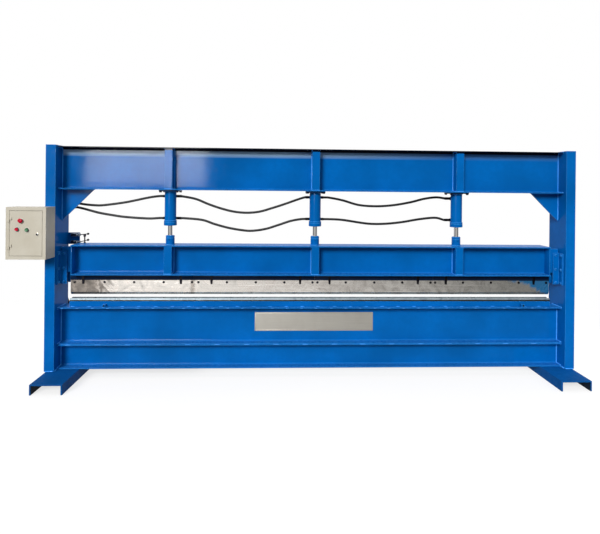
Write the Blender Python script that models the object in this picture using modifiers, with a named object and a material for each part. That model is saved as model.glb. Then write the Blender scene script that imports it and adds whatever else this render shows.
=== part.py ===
"""Hydraulic press brake of welded steel sections, modelled at its real size.

Units are metres, +Z is up, the front of the machine faces -Y and the floor is Z = 0.
Sizes below are written for a machine whose X = 0 lies halfway between its two posts
and whose Y = 0 is the mid-plane of the beams. An empty then carries the whole
machine sideways, so that the origin is the middle of its plan on the floor.
"""
import math

import bpy
import bmesh
from mathutils import Matrix, Vector

# Frame
gap = 0.0003                    # left between pieces that touch
bite = 0.002                    # how far a welded detail reaches into its piece
clear = 0.010                   # how far a cutter stands out of the piece that it cuts
clear_width = 4.160             # between the inner faces of the two posts
post_depth, post_width = 0.250, 0.078
channel_web, channel_flange = 0.009, 0.011
foot_width, foot_height, foot_overhang = 0.240, 0.078, 0.260
foot_inset = 0.018              # outer face of a foot inside the outer face of its post
lower_bed_height, bed_height, bed_width = 0.194, 0.300, 0.150
bed_web, bed_flange = 0.0065, 0.009
top_beam_height, top_beam_width, top_beam_web, top_beam_flange = 0.346, 0.174, 0.006, 0.009
top_beam_drop = 0.008           # top of the beam below the top of the posts
gusset_leg = {"left": 0.260, "right": 0.238}
gusset_thickness = 0.010
flange_taper = 0.001            # a beam's flange is this much thinner at its edge
root_radius = 0.012             # fillet between the web and a flange of a rolled beam

# Tools
holder_width, holder_height = 0.070, 0.043
die_width, die_height = 0.060, 0.024
v_width, v_depth = 0.040, 0.016
open_height = 0.029             # daylight between the blade and the lower die
blade_thickness, blade_height, blade_nose, blade_taper = 0.030, 0.167, 0.006, 0.020
segment_length, segment_count = 1.000, 4

# Moving beam, its guides and its cylinders
ram_height, ram_width, ram_web, ram_flange = 0.244, 0.175, 0.007, 0.011
ram_length = 3.950
stiffener_width, stiffener_inset = 0.062, 0.001
stiffener_bite = 0.004          # how far a stiffener reaches into a flange
cylinder_spacing = 1.200
tube_radius, cap_radius, cap_height = 0.047, 0.0525, 0.042
cylinder_length, mounting_plate, mounting_plate_height = 0.292, 0.157, 0.010
rod_shown, rod_inside, bore_depth = 0.082, 0.080, 0.200
rod_radius, rod_end_radius, rod_end_height = 0.020, 0.036, 0.076
port_drop = {"upper": 0.052, "lower": 0.237}
tee_radius, tee_length, tee_back, boss_half = 0.015, 0.064, 0.070, 0.0118
tube_sides, tee_sides = 30, 18
guide_height, guide_leg, guide_plate, guide_mouth = 0.266, 0.058, 0.010, 0.060
guide_bottom = 0.761
guide_seat = 0.060              # width of the guide's leg on the post
slide_clearance = 0.001
shoe_height = 0.200

# Control box on the left post
case_width, case_height, case_depth, case_bottom = 0.300, 0.400, 0.150, 0.991
case_sheet, door_margin, door_thickness, door_gap = 0.003, 0.026, 0.010, 0.0025
hinge_radius, hinge_leaf, hinge_height, hinge_inset = 0.004, 0.018, 0.036, 0.070
button_radius, bezel_radius, bezel_height = 0.0105, 0.0145, 0.005
button_proud, button_inside = 0.0045, 0.020
mushroom_radius, mushroom_height = 0.0175, 0.010
cap_width, cap_deep = 0.013, 0.004      # radius and height of a flat button's head
lock_radius, lock_height = 0.011, 0.006

# Limit switches on the left post and the rod on the moving beam that trips them
bracket_sheet, bracket_reach, bracket_lap = 0.004, 0.093, 0.040
bracket_margin = 0.0055         # of the bracket above and below the switches
switch_size = (0.077, 0.022, 0.026)
switch_left, lever_length, lever_section = 0.025, 0.082, 0.006
roller_radius, roller_width = 0.009, 0.012
hub_radius, hub_length, hub_offset = 0.010, 0.008, 0.065
switch_heights = {"upper": 1.1445, "lower": 1.083}
lever_rise = {"upper": 0.0095, "lower": 0.020}
trip_place, trip_radius, trip_height = (-1.927, 0.0775), 0.005, 0.0715
trip_head_width, trip_head_height = 0.020, 0.022

# Hydraulic power unit on a shelf behind the bed
shelf_inset, shelf_margin, shelf_depth, shelf_plate, shelf_height = 0.100, 0.030, 0.280, 0.006, 0.130
rib_thickness, rib_inset, rib_drop = 0.008, 0.080, 0.040
tank_length, tank_depth, tank_height = 0.500, 0.240, 0.300
valve_size, valve_inset = (0.150, 0.110, 0.060), 0.190
tank_edge, valve_edge = 0.008, 0.003    # rounding of their edges
motor_radius, motor_length, motor_centre = 0.085, 0.240, 0.105
motor_foot, motor_foot_inset = 0.120, 0.050
pump_radius, pump_length = 0.045, 0.240
unit_back_gap = 0.020           # from the bed to the tank

# Nameplate on the bed
plate_width, plate_height, plate_bottom, plate_thickness = 0.990, 0.155, 0.364, 0.0015

# Hydraulic hoses
hose_radius = 0.010
hose_step = 0.050               # between the points of a hose's tube
span_steps = 24                 # fine points read from the curve between two route points

# Places that follow from the sizes
inner = clear_width / 2
outer = inner + post_width
post_front = -post_depth / 2
lower_bed_bottom = foot_height + gap
bed_bottom = lower_bed_bottom + lower_bed_height + gap
bed_top = bed_bottom + bed_height
holder_bottom = bed_top + gap
die_bottom = holder_bottom + holder_height + gap
die_top = die_bottom + die_height
blade_bottom = die_top + open_height
ram_bottom = blade_bottom + blade_height + gap
ram_top = ram_bottom + ram_height
rod_end_top = ram_top + gap + rod_end_height
tube_bottom = rod_end_top + rod_shown
plate_top = tube_bottom + cylinder_length
beam_bottom = plate_top + gap
beam_top = beam_bottom + top_beam_height
post_top = beam_top + top_beam_drop
cylinder_places = {"left": -cylinder_spacing, "middle": 0.0, "right": cylinder_spacing}
case_left = -inner - case_width
case_back = post_front - gap
case_front = case_back - case_depth
overhang = -outer - case_left
shelf_left = -inner + shelf_inset
tank_left = shelf_left + shelf_margin
motor_left = tank_left + tank_length + pump_length
valve_left = tank_left + valve_inset

merge_distance = 0.00005        # joins a curve's caps to its sides
flat_angle = math.radians(1)    # faces nearer than this to one plane become one face
collection = None
workshop = None


def start_scene():
    """Empty the file and make the two collections."""
    global collection, workshop
    for thing in list(bpy.data.objects):
        bpy.data.objects.remove(thing, do_unlink=True)
    collection = bpy.data.collections.new("Press brake")
    workshop = bpy.data.collections.new("Cutters")
    bpy.context.scene.collection.children.link(collection)
    bpy.context.scene.collection.children.link(workshop)


def make_paint(name, colour, roughness, metallic=0.0):
    paint = bpy.data.materials.new(name)
    paint.use_nodes = True
    shader = paint.node_tree.nodes["Principled BSDF"]
    shader.inputs["Base Color"].default_value = (*colour, 1.0)
    shader.inputs["Roughness"].default_value = roughness
    shader.inputs["Metallic"].default_value = metallic
    paint.diffuse_color = (*colour, 1.0)
    return paint


def holder(name, place, parent=None):
    """An empty that carries pieces. Its children keep the machine's coordinates."""
    empty = bpy.data.objects.new(name, None)
    collection.objects.link(empty)
    empty.location = place
    if parent:
        empty.parent = parent
        empty.matrix_parent_inverse = Matrix.Translation(-Vector(parent.get("at", (0, 0, 0))))
    empty["at"] = place
    return empty


def settle(thing, paint, carrier):
    """Put a piece in the machine's collection, on its carrier and in its paint."""
    for owner in list(thing.users_collection):
        owner.objects.unlink(thing)
    collection.objects.link(thing)
    thing.parent = carrier
    thing.matrix_parent_inverse = Matrix.Translation(-Vector(carrier["at"]))
    if paint:
        thing.data.materials.clear()
        thing.data.materials.append(paint)
    return thing


def box(name, low, high, paint=None, carrier=None, edge=0.0):
    """A block between two corners, with rounded edges where edge is given."""
    low, high = Vector(low), Vector(high)
    bpy.ops.mesh.primitive_cube_add(size=1.0, location=(low + high) / 2)
    block = bpy.context.active_object
    block.name = name
    block.scale = high - low
    bpy.ops.object.transform_apply(location=False, rotation=False, scale=True)
    if edge:
        rounding = block.modifiers.new("Rounded edges", "BEVEL")
        rounding.width = edge
        rounding.segments = 2
        rounding.limit_method = "ANGLE"
    return settle(block, paint, carrier or machine)


def rod(name, radius, start, end, paint=None, carrier=None, sides=32):
    """A round bar from one point to another."""
    start, end = Vector(start), Vector(end)
    along = end - start
    bpy.ops.mesh.primitive_cylinder_add(
        vertices=sides, radius=radius, depth=along.length, location=(start + end) / 2,
        rotation=along.to_track_quat("Z", "Y").to_euler())
    bar = bpy.context.active_object
    bar.name = name
    bar.data.shade_smooth()
    bar.data.set_sharp_from_angle(angle=math.radians(40))
    return settle(bar, paint, carrier or machine)


def section(name, outline, length, place, rotation, paint=None, carrier=None):
    """A flat outline drawn in XY and extruded along Z to both sides of its place."""
    curve = bpy.data.curves.new(name, "CURVE")
    curve.dimensions = "2D"
    curve.fill_mode = "BOTH"
    curve.extrude = length / 2
    spline = curve.splines.new("POLY")
    spline.points.add(len(outline) - 1)
    for point, (x, y) in zip(spline.points, outline):
        point.co = (x, y, 0.0, 1.0)
    spline.use_cyclic_u = True
    drawn = bpy.data.objects.new(name + " outline", curve)
    bpy.context.scene.collection.objects.link(drawn)
    evaluated = drawn.evaluated_get(bpy.context.evaluated_depsgraph_get())
    mesh = bpy.data.meshes.new_from_object(evaluated)
    work = bmesh.new()
    work.from_mesh(mesh)
    bmesh.ops.remove_doubles(work, verts=work.verts, dist=merge_distance)
    bmesh.ops.dissolve_limit(work, angle_limit=flat_angle, verts=work.verts, edges=work.edges)
    bmesh.ops.recalc_face_normals(work, faces=work.faces)
    work.to_mesh(mesh)
    work.free()
    bpy.data.objects.remove(drawn, do_unlink=True)
    solid = bpy.data.objects.new(name, mesh)
    collection.objects.link(solid)
    solid.location = place
    solid.rotation_euler = rotation
    return settle(solid, paint, carrier or machine)


def combine(target, tool, operation):
    """Cut a tool from a piece, or weld it to the piece."""
    step = target.modifiers.new(tool.name, "BOOLEAN")
    step.operation = operation
    step.object = tool
    for owner in list(tool.users_collection):
        owner.objects.unlink(tool)
    workshop.objects.link(tool)
    tool.hide_render = True
    tool.display_type = "WIRE"


def cut(target, tool):
    combine(target, tool, "DIFFERENCE")


def weld(target, tool):
    combine(target, tool, "UNION")


ALONG_X = (math.pi / 2, 0.0, math.pi / 2)      # an outline's X lies on Y, its Y on Z
ALONG_Y = (math.pi / 2, 0.0, 0.0)              # an outline's X lies on X, its Y on Z
ALONG_Z = (0.0, 0.0, 0.0)


def quarter(centre, radius, start, steps=3):
    """Points of an inner fillet, clockwise through a quarter turn from an angle."""
    points = []
    for index in range(steps + 1):
        angle = start - math.pi / 2 * index / steps
        points.append((centre[0] + radius * math.cos(angle), centre[1] + radius * math.sin(angle)))
    return points


def i_outline(height, width, web, flange):
    """A rolled beam's outline about its middle, with fillets at the web."""
    half, side, core, root = height / 2, width / 2, web / 2, root_radius
    tip = flange - flange_taper
    right = [(side, -half), (side, -half + tip)]
    right += quarter((core + root, -half + flange + root), root, -math.pi / 2)
    right += quarter((core + root, half - flange - root), root, math.pi)
    right += [(side, half - tip), (side, half)]
    return right + [(-x, -y) for x, y in right]


def channel_outline(depth, width, opening):
    """A channel with its web's outer face on X = 0. Its toes point to opening, +1 or -1."""
    half = depth / 2
    points = [(0, -half), (width, -half), (width, -half + channel_flange),
              (channel_web, -half + channel_flange), (channel_web, half - channel_flange),
              (width, half - channel_flange), (width, half), (0, half)]
    return [(opening * x, y) for x, y in points]


def build_frame():
    """Feet, posts, bed, top beam and gussets, all of welded rolled steel."""
    foot_length = post_depth + 2 * foot_overhang
    for side, sign in (("left", -1), ("right", 1)):
        middle = sign * (outer - foot_inset - foot_width / 2)
        outline = [(y, x) for x, y in channel_outline(foot_width, foot_height, -1)]
        section(side + "_foot", outline, foot_length, (middle, 0, foot_height), ALONG_Y, enamel)
        post_length = post_top - foot_height - gap
        section(side + "_post", channel_outline(post_depth, post_width, sign), post_length,
                (sign * inner, 0, foot_height + gap + post_length / 2), ALONG_Z, enamel)
        leg = gusset_leg[side]
        corner = inner - gap
        triangle = [(sign * corner, 0), (sign * (corner - leg), 0), (sign * corner, -leg)]
        section("gusset_" + side, triangle, gusset_thickness, (0, 0, beam_bottom - gap), ALONG_Y, enamel)
    span = clear_width - 2 * gap
    section("bed_lower_beam", i_outline(lower_bed_height, bed_width, bed_web, bed_flange), span,
            (0, 0, lower_bed_bottom + lower_bed_height / 2), ALONG_X, enamel)
    section("bed_upper_beam", i_outline(bed_height, bed_width, bed_web, bed_flange), span,
            (0, 0, bed_bottom + bed_height / 2), ALONG_X, enamel)
    top = section("top_beam",
                  i_outline(top_beam_height, top_beam_width, top_beam_web, top_beam_flange), span,
                  (0, 0, beam_top - top_beam_height / 2), ALONG_X, enamel)
    weld_stiffeners(top, beam_bottom, beam_top, top_beam_width, machine)


def weld_stiffeners(beam, bottom, top, width, carrier):
    """Bars over the cylinders, on both sides of the web, nearly flush with the flanges."""
    reach = width / 2 - stiffener_inset
    for name, x in cylinder_places.items():
        bar = box(f"{beam.name} {name} bar", (x - stiffener_width / 2, -reach, bottom + stiffener_bite),
                  (x + stiffener_width / 2, reach, top - stiffener_bite), None, carrier)
        weld(beam, bar)


def build_bed_tools():
    """The bar on the bed and the lower die with its V groove."""
    half = segment_length * segment_count / 2
    box("die_holder_bar", (-half, -holder_width / 2, holder_bottom),
        (half, holder_width / 2, holder_bottom + holder_height), enamel)
    outline = [(-die_width / 2, 0), (die_width / 2, 0), (die_width / 2, die_height),
               (v_width / 2, die_height), (0.0, die_height - v_depth), (-v_width / 2, die_height),
               (-die_width / 2, die_height)]
    section("lower_die", outline, 2 * half, (0, 0, die_bottom), ALONG_X, tool_steel)


def build_guides():
    """Bolted angles at each post, between which the moving beam's end shoes slide."""
    mouth = guide_mouth / 2
    for side, sign in (("left", -1), ("right", 1)):
        for face, turn in (("front", -1), ("rear", 1)):
            near, far, end = turn * mouth, turn * (mouth + guide_plate), turn * (mouth + guide_seat)
            post_face = sign * (inner - gap)
            lip = sign * (inner - guide_leg)
            back = sign * (inner - gap - guide_plate)
            outline = [(post_face, near), (lip, near), (lip, far), (back, far), (back, end), (post_face, end)]
            section(f"guide_{side}_{face}", outline, guide_height,
                    (0, 0, guide_bottom + guide_height / 2), ALONG_Z, enamel)
        end = sign * (inner - gap - guide_plate - slide_clearance)
        start = sign * (ram_length / 2 + gap)
        low_x, high_x = sorted((start, end))
        reach = mouth - slide_clearance
        middle = ram_bottom + ram_height / 2
        box("slide_shoe_" + side, (low_x, -reach, middle - shoe_height / 2),
            (high_x, reach, middle + shoe_height / 2), enamel, ram_holder)


def build_moving_beam():
    """The beam that carries the blade, and the rod ends that stand on it."""
    ram = section("moving_beam", i_outline(ram_height, ram_width, ram_web, ram_flange), ram_length,
                  (0, 0, ram_bottom + ram_height / 2), ALONG_X, enamel, ram_holder)
    weld_stiffeners(ram, ram_bottom, ram_top, ram_width, ram_holder)
    half, nose = blade_thickness / 2, blade_nose / 2
    outline = [(-nose, 0), (nose, 0), (half, blade_taper), (half, blade_height),
               (-half, blade_height), (-half, blade_taper)]
    first = -segment_length * (segment_count - 1) / 2
    for index in range(segment_count):
        section(f"blade_segment_{index + 1}", outline, segment_length - gap,
                (first + index * segment_length, 0, blade_bottom), ALONG_X, tool_steel, ram_holder)
    for name, x in cylinder_places.items():
        piston = rod("piston_rod_" + name, rod_radius, (x, 0, rod_end_top - bite),
                     (x, 0, tube_bottom + rod_inside), chrome, ram_holder)
        weld(piston, rod("rod end " + name, rod_end_radius, (x, 0, ram_top + gap),
                         (x, 0, rod_end_top), None, ram_holder))


def build_cylinders():
    """Tubes that hang from plates under the top beam, with ports at their backs."""
    bore_top = tube_bottom + bore_depth
    for name, x in cylinder_places.items():
        tube = rod("cylinder_" + name, tube_radius, (x, 0, tube_bottom + bite),
                   (x, 0, plate_top - bite), enamel, sides=tube_sides)
        half = mounting_plate / 2
        weld(tube, box("plate " + name, (x - half, -half, plate_top - mounting_plate_height),
                       (x + half, half, plate_top)))
        weld(tube, rod("cap " + name, cap_radius, (x, 0, tube_bottom), (x, 0, tube_bottom + cap_height)))
        for level, drop in port_drop.items():
            height = plate_top - drop
            weld(tube, box(f"boss {name} {level}", (x - boss_half, tube_radius / 2, height - boss_half),
                           (x + boss_half, tee_back, height + boss_half)))
            weld(tube, rod(f"tee {name} {level}", tee_radius, (x - tee_length / 2, tee_back, height),
                           (x + tee_length / 2, tee_back, height), sides=tee_sides))
        cut(tube, rod("bore " + name, rod_radius + gap, (x, 0, tube_bottom - clear), (x, 0, bore_top)))


def build_control_box():
    """A sheet steel case on the left post, open at the front, with a hinged door."""
    case = box("control_box", (case_left, case_front, case_bottom),
               (case_left + case_width, case_back, case_bottom + case_height), cream_enamel)
    low = Vector((case_left, case_front, case_bottom)) + Vector((case_sheet,) * 3)
    high = Vector((case_left + case_width, case_back, case_bottom + case_height)) - Vector((case_sheet,) * 3)
    cut(case, box("case inside", low, high))
    left, right = case_left + door_margin, case_left + case_width - door_margin
    bottom, top = case_bottom + door_margin, case_bottom + case_height - door_margin
    cut(case, box("case mouth", (left, case_front - clear, bottom),
                  (right, case_front + case_sheet + clear, top)))
    door = box("control_box_door", (left + door_gap, case_front, bottom + door_gap),
               (right - door_gap, case_front + door_thickness, top - door_gap), cream_enamel, door_holder)
    for index, height in enumerate((bottom + hinge_inset, top - hinge_inset)):
        half = hinge_height / 2
        leaf_front, leaf_back = hinge_y - bite / 2, case_front + bite / 2
        weld(case, rod(f"case knuckle {index}", hinge_radius, (hinge_x, hinge_y, height - half),
                       (hinge_x, hinge_y, height - gap / 2), sides=16))
        weld(case, box(f"case leaf {index}", (hinge_x - hinge_leaf, leaf_front, height - half),
                       (hinge_x - bite, leaf_back, height - gap / 2)))
        weld(door, rod(f"door knuckle {index}", hinge_radius, (hinge_x, hinge_y, height + gap / 2),
                       (hinge_x, hinge_y, height + half), None, door_holder, sides=16))
        weld(door, box(f"door leaf {index}", (hinge_x + bite, leaf_front, height + gap / 2),
                       (hinge_x + hinge_leaf, leaf_back, height + half), None, door_holder))
    for name, (x, z, paint) in buttons.items():
        face = case_front - bezel_height
        weld(door, rod("bezel " + name, bezel_radius, (x, face, z), (x, case_front + bite, z),
                       None, door_holder, sides=24))
        cut(door, rod("hole " + name, button_radius + gap, (x, face - clear, z),
                      (x, case_front + door_thickness + clear, z), None, door_holder, sides=24))
        reach = face - button_proud
        carrier = holder(name + "_press", (x, reach, z), door_holder)
        knob = rod(name, button_radius, (x, reach - bite / 2, z), (x, case_front + button_inside, z),
                   paint, carrier, sides=24)
        wide, deep = (mushroom_radius, mushroom_height) if name == "stop_button" else (cap_width, cap_deep)
        weld(knob, rod("head " + name, wide, (x, reach - deep, z), (x, reach, z), None, carrier, sides=24))
    x, z = lock_place
    rod("door_lock", lock_radius, (x, case_front - lock_height, z), (x, case_front - gap, z),
        bright_steel, door_holder, sides=24)


def build_limit_switches():
    """Two roller lever switches on a plate behind the left post, and their trip rod."""
    long, deep, high = switch_size
    bracket_bottom = min(switch_heights.values()) - high / 2 - bracket_margin
    bracket_top = max(switch_heights.values()) + high / 2 + bracket_margin
    bracket_front = post_depth / 2 + gap
    box("limit_switch_bracket", (-inner - bracket_lap, bracket_front, bracket_bottom),
        (-inner + bracket_reach, bracket_front + bracket_sheet, bracket_top), enamel)
    back = bracket_front - gap
    for name, z in switch_heights.items():
        left = -inner + switch_left
        case = box(f"limit_switch_{name}", (left, back - deep, z - high / 2),
                   (left + long, back, z + high / 2), black_plastic)
        pivot = (left + hub_offset, back - deep + bite / 2, z)
        front = back - deep - hub_length
        weld(case, rod(f"hub {name}", hub_radius, pivot, (pivot[0], front, z), sides=16))
        end = Vector((pivot[0] + lever_length, front + hub_length / 2, z + lever_rise[name]))
        weld(case, rod(f"lever {name}", lever_section / 2, (pivot[0], end.y, z), end, sides=8))
        weld(case, rod(f"roller {name}", roller_radius, (end.x, end.y - roller_width / 2, end.z),
                       (end.x, end.y + roller_width / 2, end.z), sides=16))
    x, y = trip_place
    half, top = trip_head_width / 2, ram_top + trip_height
    trip = rod("trip_rod", trip_radius, (x, y, ram_top + gap), (x, y, top - bite),
               bright_steel, ram_holder, sides=12)
    weld(trip, box("trip head", (x - half, y - trip_radius, top - trip_head_height),
                   (x + half, y + trip_radius, top), None, ram_holder))


def build_power_unit():
    """Oil tank, valve block, motor and pump on a shelf behind the bed."""
    back = bed_width / 2 + gap
    motor_right = motor_left + motor_length
    shelf_right = motor_right + shelf_margin
    shelf = box("power_unit_shelf", (shelf_left, back, shelf_height - shelf_plate),
                (shelf_right, back + shelf_depth, shelf_height), enamel)
    for name, x in (("left", shelf_left + rib_inset), ("right", shelf_right - rib_inset)):
        weld(shelf, box("shelf rib " + name, (x, back, shelf_height - shelf_plate / 2),
                        (x + rib_thickness, back + rib_thickness, bed_bottom + bed_flange)))
        weld(shelf, box("shelf web " + name, (x, back, shelf_height - shelf_plate - rib_drop),
                        (x + rib_thickness, back + tank_depth, shelf_height - shelf_plate / 2)))
    front = back + unit_back_gap
    base = shelf_height + gap
    tank_top = base + tank_height
    box("oil_tank", (tank_left, front, base), (tank_left + tank_length, front + tank_depth, tank_top),
        enamel, edge=tank_edge)
    long, deep, high = valve_size
    valve_front = front + tank_depth / 2 - deep / 2
    box("valve_block", (valve_left, valve_front, tank_top + gap),
        (valve_left + long, valve_front + deep, tank_top + gap + high), bright_steel, edge=valve_edge)
    middle = front + tank_depth / 2
    height = base + motor_centre
    motor = rod("electric_motor", motor_radius, (motor_left, middle, height),
                (motor_right, middle, height), grey_enamel)
    weld(motor, box("motor foot", (motor_left + motor_foot_inset, middle - motor_foot / 2, base),
                    (motor_right - motor_foot_inset, middle + motor_foot / 2, height - motor_radius / 2)))
    rod("gear_pump", pump_radius, (tank_left + tank_length + gap, middle, height),
        (motor_left - gap, middle, height), bright_steel)


def build_nameplate():
    """The blank plate riveted to the web of the bed's upper beam."""
    back = -bed_web / 2 - gap
    box("nameplate", (-plate_width / 2, back - plate_thickness, plate_bottom),
        (plate_width / 2, back, plate_bottom + plate_height), bright_steel)


def smooth_route(points):
    """Even points along a hose: straight out of each end, and a smooth curve between."""
    knots = [Vector(point) for point in points]
    fine = []
    for a, b, c, d in zip(knots, knots[1:], knots[2:], knots[3:]):
        for index in range(span_steps):
            t = index / span_steps
            fine.append(0.5 * (2 * b + (c - a) * t + (2 * a - 5 * b + 4 * c - d) * t ** 2
                               + (3 * b - a - 3 * c + d) * t ** 3))
    fine.append(knots[-2])
    length = sum((q - p).length for p, q in zip(fine, fine[1:]))
    count = round(length / hose_step)
    spaced, travelled = [fine[0]], 0.0
    for p, q in zip(fine, fine[1:]):
        travelled += (q - p).length
        if travelled >= len(spaced) * length / count and len(spaced) < count:
            spaced.append(q)
    return [knots[0]] + spaced + [fine[-1], knots[-1]]


def hose(name, points):
    curve = bpy.data.curves.new(name, "CURVE")
    curve.dimensions = "3D"
    curve.bevel_depth = hose_radius
    curve.bevel_resolution = 2
    curve.use_fill_caps = True
    route = smooth_route(points)
    spline = curve.splines.new("POLY")
    spline.points.add(len(route) - 1)
    for point, place in zip(spline.points, route):
        point.co = (*place, 1.0)
    settle(bpy.data.objects.new(name, curve), black_rubber, machine)


def build_hoses():
    """Three pairs of hoses: from the valve block up the left post, then tee to tee."""
    port = tee_length / 2 + gap
    upper, lower = plate_top - port_drop["upper"], plate_top - port_drop["lower"]
    y = tee_back
    left = {name: x - port for name, x in cylinder_places.items()}
    right = {name: x + port for name, x in cylinder_places.items()}
    exit_x = valve_left - gap
    hose("hose_feed_upper", [
        (exit_x, 0.232, 0.462), (-1.800, 0.232, 0.462), (-1.900, 0.229, 0.466), (-2.010, 0.214, 0.484),
        (-2.100, 0.188, 0.540), (-2.138, 0.160, 0.630), (-2.143, 0.149, 0.740), (-2.143, 0.148, 0.850),
        (-2.143, 0.148, 1.000), (-2.143, 0.148, 1.150), (-2.142, 0.149, 1.240), (-2.128, 0.153, 1.330),
        (-2.084, 0.150, 1.391), (-2.016, 0.133, 1.408), (-1.930, 0.108, 1.401), (-1.850, 0.088, 1.396),
        (-1.771, 0.078, 1.398), (-1.587, 0.070, 1.424), (-1.402, 0.070, 1.464), (-1.300, y, upper),
        (left["left"], y, upper)])
    hose("hose_feed_lower", [
        (exit_x, 0.190, 0.462), (-1.800, 0.190, 0.462), (-1.900, 0.187, 0.466), (-2.000, 0.176, 0.484),
        (-2.072, 0.160, 0.535), (-2.104, 0.150, 0.620), (-2.108, 0.148, 0.720), (-2.108, 0.148, 0.850),
        (-2.108, 0.148, 1.000), (-2.108, 0.148, 1.130), (-2.108, 0.148, 1.220), (-2.107, 0.149, 1.285),
        (-2.096, 0.150, 1.329), (-2.067, 0.147, 1.362), (-2.022, 0.132, 1.376), (-1.960, 0.111, 1.368),
        (-1.874, 0.091, 1.348), (-1.804, 0.080, 1.332), (-1.694, 0.073, 1.314), (-1.586, 0.070, 1.300),
        (-1.401, 0.070, 1.289), (-1.300, y, lower), (left["left"], y, lower)])
    hose("hose_first_upper", [
        (right["left"], y, upper), (-1.130, y, upper), (-1.008, 0.072, 1.457), (-0.900, 0.074, 1.414),
        (-0.793, 0.074, 1.378), (-0.685, 0.074, 1.352), (-0.577, 0.074, 1.343), (-0.469, 0.074, 1.353),
        (-0.362, 0.074, 1.384), (-0.253, 0.074, 1.420), (-0.145, 0.072, 1.459), (-0.080, y, upper),
        (left["middle"], y, upper)])
    hose("hose_first_lower", [
        (right["left"], y, lower), (-1.110, y, lower), (-0.952, 0.072, 1.280), (-0.845, 0.074, 1.245),
        (-0.737, 0.074, 1.216), (-0.629, 0.074, 1.197), (-0.533, 0.074, 1.190), (-0.414, 0.074, 1.207),
        (-0.306, 0.074, 1.241), (-0.198, 0.072, 1.277), (-0.100, y, lower), (left["middle"], y, lower)])
    hose("hose_second_upper", [
        (right["middle"], y, upper), (0.110, y, upper), (0.237, 0.072, 1.456), (0.378, 0.074, 1.417),
        (0.526, 0.074, 1.407), (0.675, 0.074, 1.417), (0.824, 0.074, 1.443), (0.944, 0.072, 1.474),
        (1.048, 0.070, 1.488), (1.130, y, upper), (left["right"], y, upper)])
    hose("hose_second_lower", [
        (right["middle"], y, lower), (0.110, y, lower), (0.238, 0.072, 1.288), (0.454, 0.074, 1.258),
        (0.602, 0.074, 1.257), (0.751, 0.074, 1.272), (0.900, 0.072, 1.298), (1.040, 0.070, 1.312),
        (1.120, y, lower), (left["right"], y, lower)])


start_scene()
enamel = make_paint("blue enamel", (0.003, 0.122, 0.485), 0.30)
cream_enamel = make_paint("cream enamel", (0.62, 0.59, 0.50), 0.40)
grey_enamel = make_paint("grey enamel", (0.18, 0.20, 0.22), 0.40)
tool_steel = make_paint("ground tool steel", (0.56, 0.54, 0.52), 0.35, 1.0)
bright_steel = make_paint("bright steel", (0.45, 0.43, 0.40), 0.35, 1.0)
chrome = make_paint("chromed steel", (0.62, 0.61, 0.60), 0.12, 1.0)
black_plastic = make_paint("black plastic", (0.02, 0.02, 0.025), 0.45)
black_rubber = make_paint("black rubber", (0.012, 0.012, 0.012), 0.55)
red_plastic = make_paint("red plastic", (0.55, 0.02, 0.02), 0.35)
green_plastic = make_paint("green plastic", (0.01, 0.25, 0.06), 0.35)

case_top = case_bottom + case_height
hinge_x = case_left + door_margin + door_gap / 2
hinge_y = case_front - hinge_radius - gap
buttons = {
    "stop_button": (case_left + 0.113, case_top - 0.103, red_plastic),
    "red_button": (case_left + 0.084, case_top - 0.169, red_plastic),
    "green_button": (case_left + 0.158, case_top - 0.173, green_plastic),
}
lock_place = (case_left + 0.236, case_top - 0.207)

machine = holder("press_brake", (overhang / 2, 0.0, 0.0))
machine["at"] = (0.0, 0.0, 0.0)
ram_holder = holder("ram_slide", (0.0, 0.0, ram_bottom), machine)
door_holder = holder("door_hinge", (hinge_x, hinge_y, case_bottom), machine)
build_frame()
build_bed_tools()
build_guides()
build_moving_beam()
build_cylinders()
build_control_box()
build_limit_switches()
build_power_unit()
build_nameplate()
build_hoses()
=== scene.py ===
import math

import bmesh
import bpy
from mathutils import Matrix, Vector, noise


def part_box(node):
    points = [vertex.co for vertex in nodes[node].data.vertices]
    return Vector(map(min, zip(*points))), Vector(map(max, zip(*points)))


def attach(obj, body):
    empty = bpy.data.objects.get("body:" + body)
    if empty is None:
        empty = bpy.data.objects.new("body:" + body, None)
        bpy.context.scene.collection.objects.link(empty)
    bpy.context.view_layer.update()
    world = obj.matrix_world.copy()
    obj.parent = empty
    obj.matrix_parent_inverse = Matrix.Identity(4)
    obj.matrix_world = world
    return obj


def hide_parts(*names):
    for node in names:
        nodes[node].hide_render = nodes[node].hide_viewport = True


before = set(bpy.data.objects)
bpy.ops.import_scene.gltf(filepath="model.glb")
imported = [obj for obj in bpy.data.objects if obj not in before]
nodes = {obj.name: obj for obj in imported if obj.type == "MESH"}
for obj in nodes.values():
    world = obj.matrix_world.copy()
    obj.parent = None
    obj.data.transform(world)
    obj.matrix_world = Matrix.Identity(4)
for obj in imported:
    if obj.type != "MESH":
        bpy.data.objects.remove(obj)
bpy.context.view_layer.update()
scene = bpy.context.scene
scene.view_settings.view_transform = "Standard"

# The camera stands where the photographer stood: 4 m in front of the beams at eye
# height, nearly level and turned a little to the right. The picture is cropped towards
# its top, which the lens shift repeats, so that the posts stay upright.
picture_width, picture_height = 600, 534
focal_length = 483.0                # in pixels of the picture
horizon_row = 188.21
turned, tipped, rolled = (math.radians(angle) for angle in (2.307, 0.02, 0.544))
camera = bpy.data.objects.new("camera", bpy.data.cameras.new("camera"))
scene.collection.objects.link(camera)
camera.data.lens = focal_length / picture_width * camera.data.sensor_width
camera.data.shift_y = -(picture_height / 2 - horizon_row) / picture_width
camera.location = (-0.180, -4.041, 1.557)
camera.rotation_euler = (Matrix.Rotation(-turned, 3, "Z") @ Matrix.Rotation(math.pi / 2 - tipped, 3, "X")
                         @ Matrix.Rotation(rolled, 3, "Z")).to_euler()
scene.camera = camera


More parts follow.
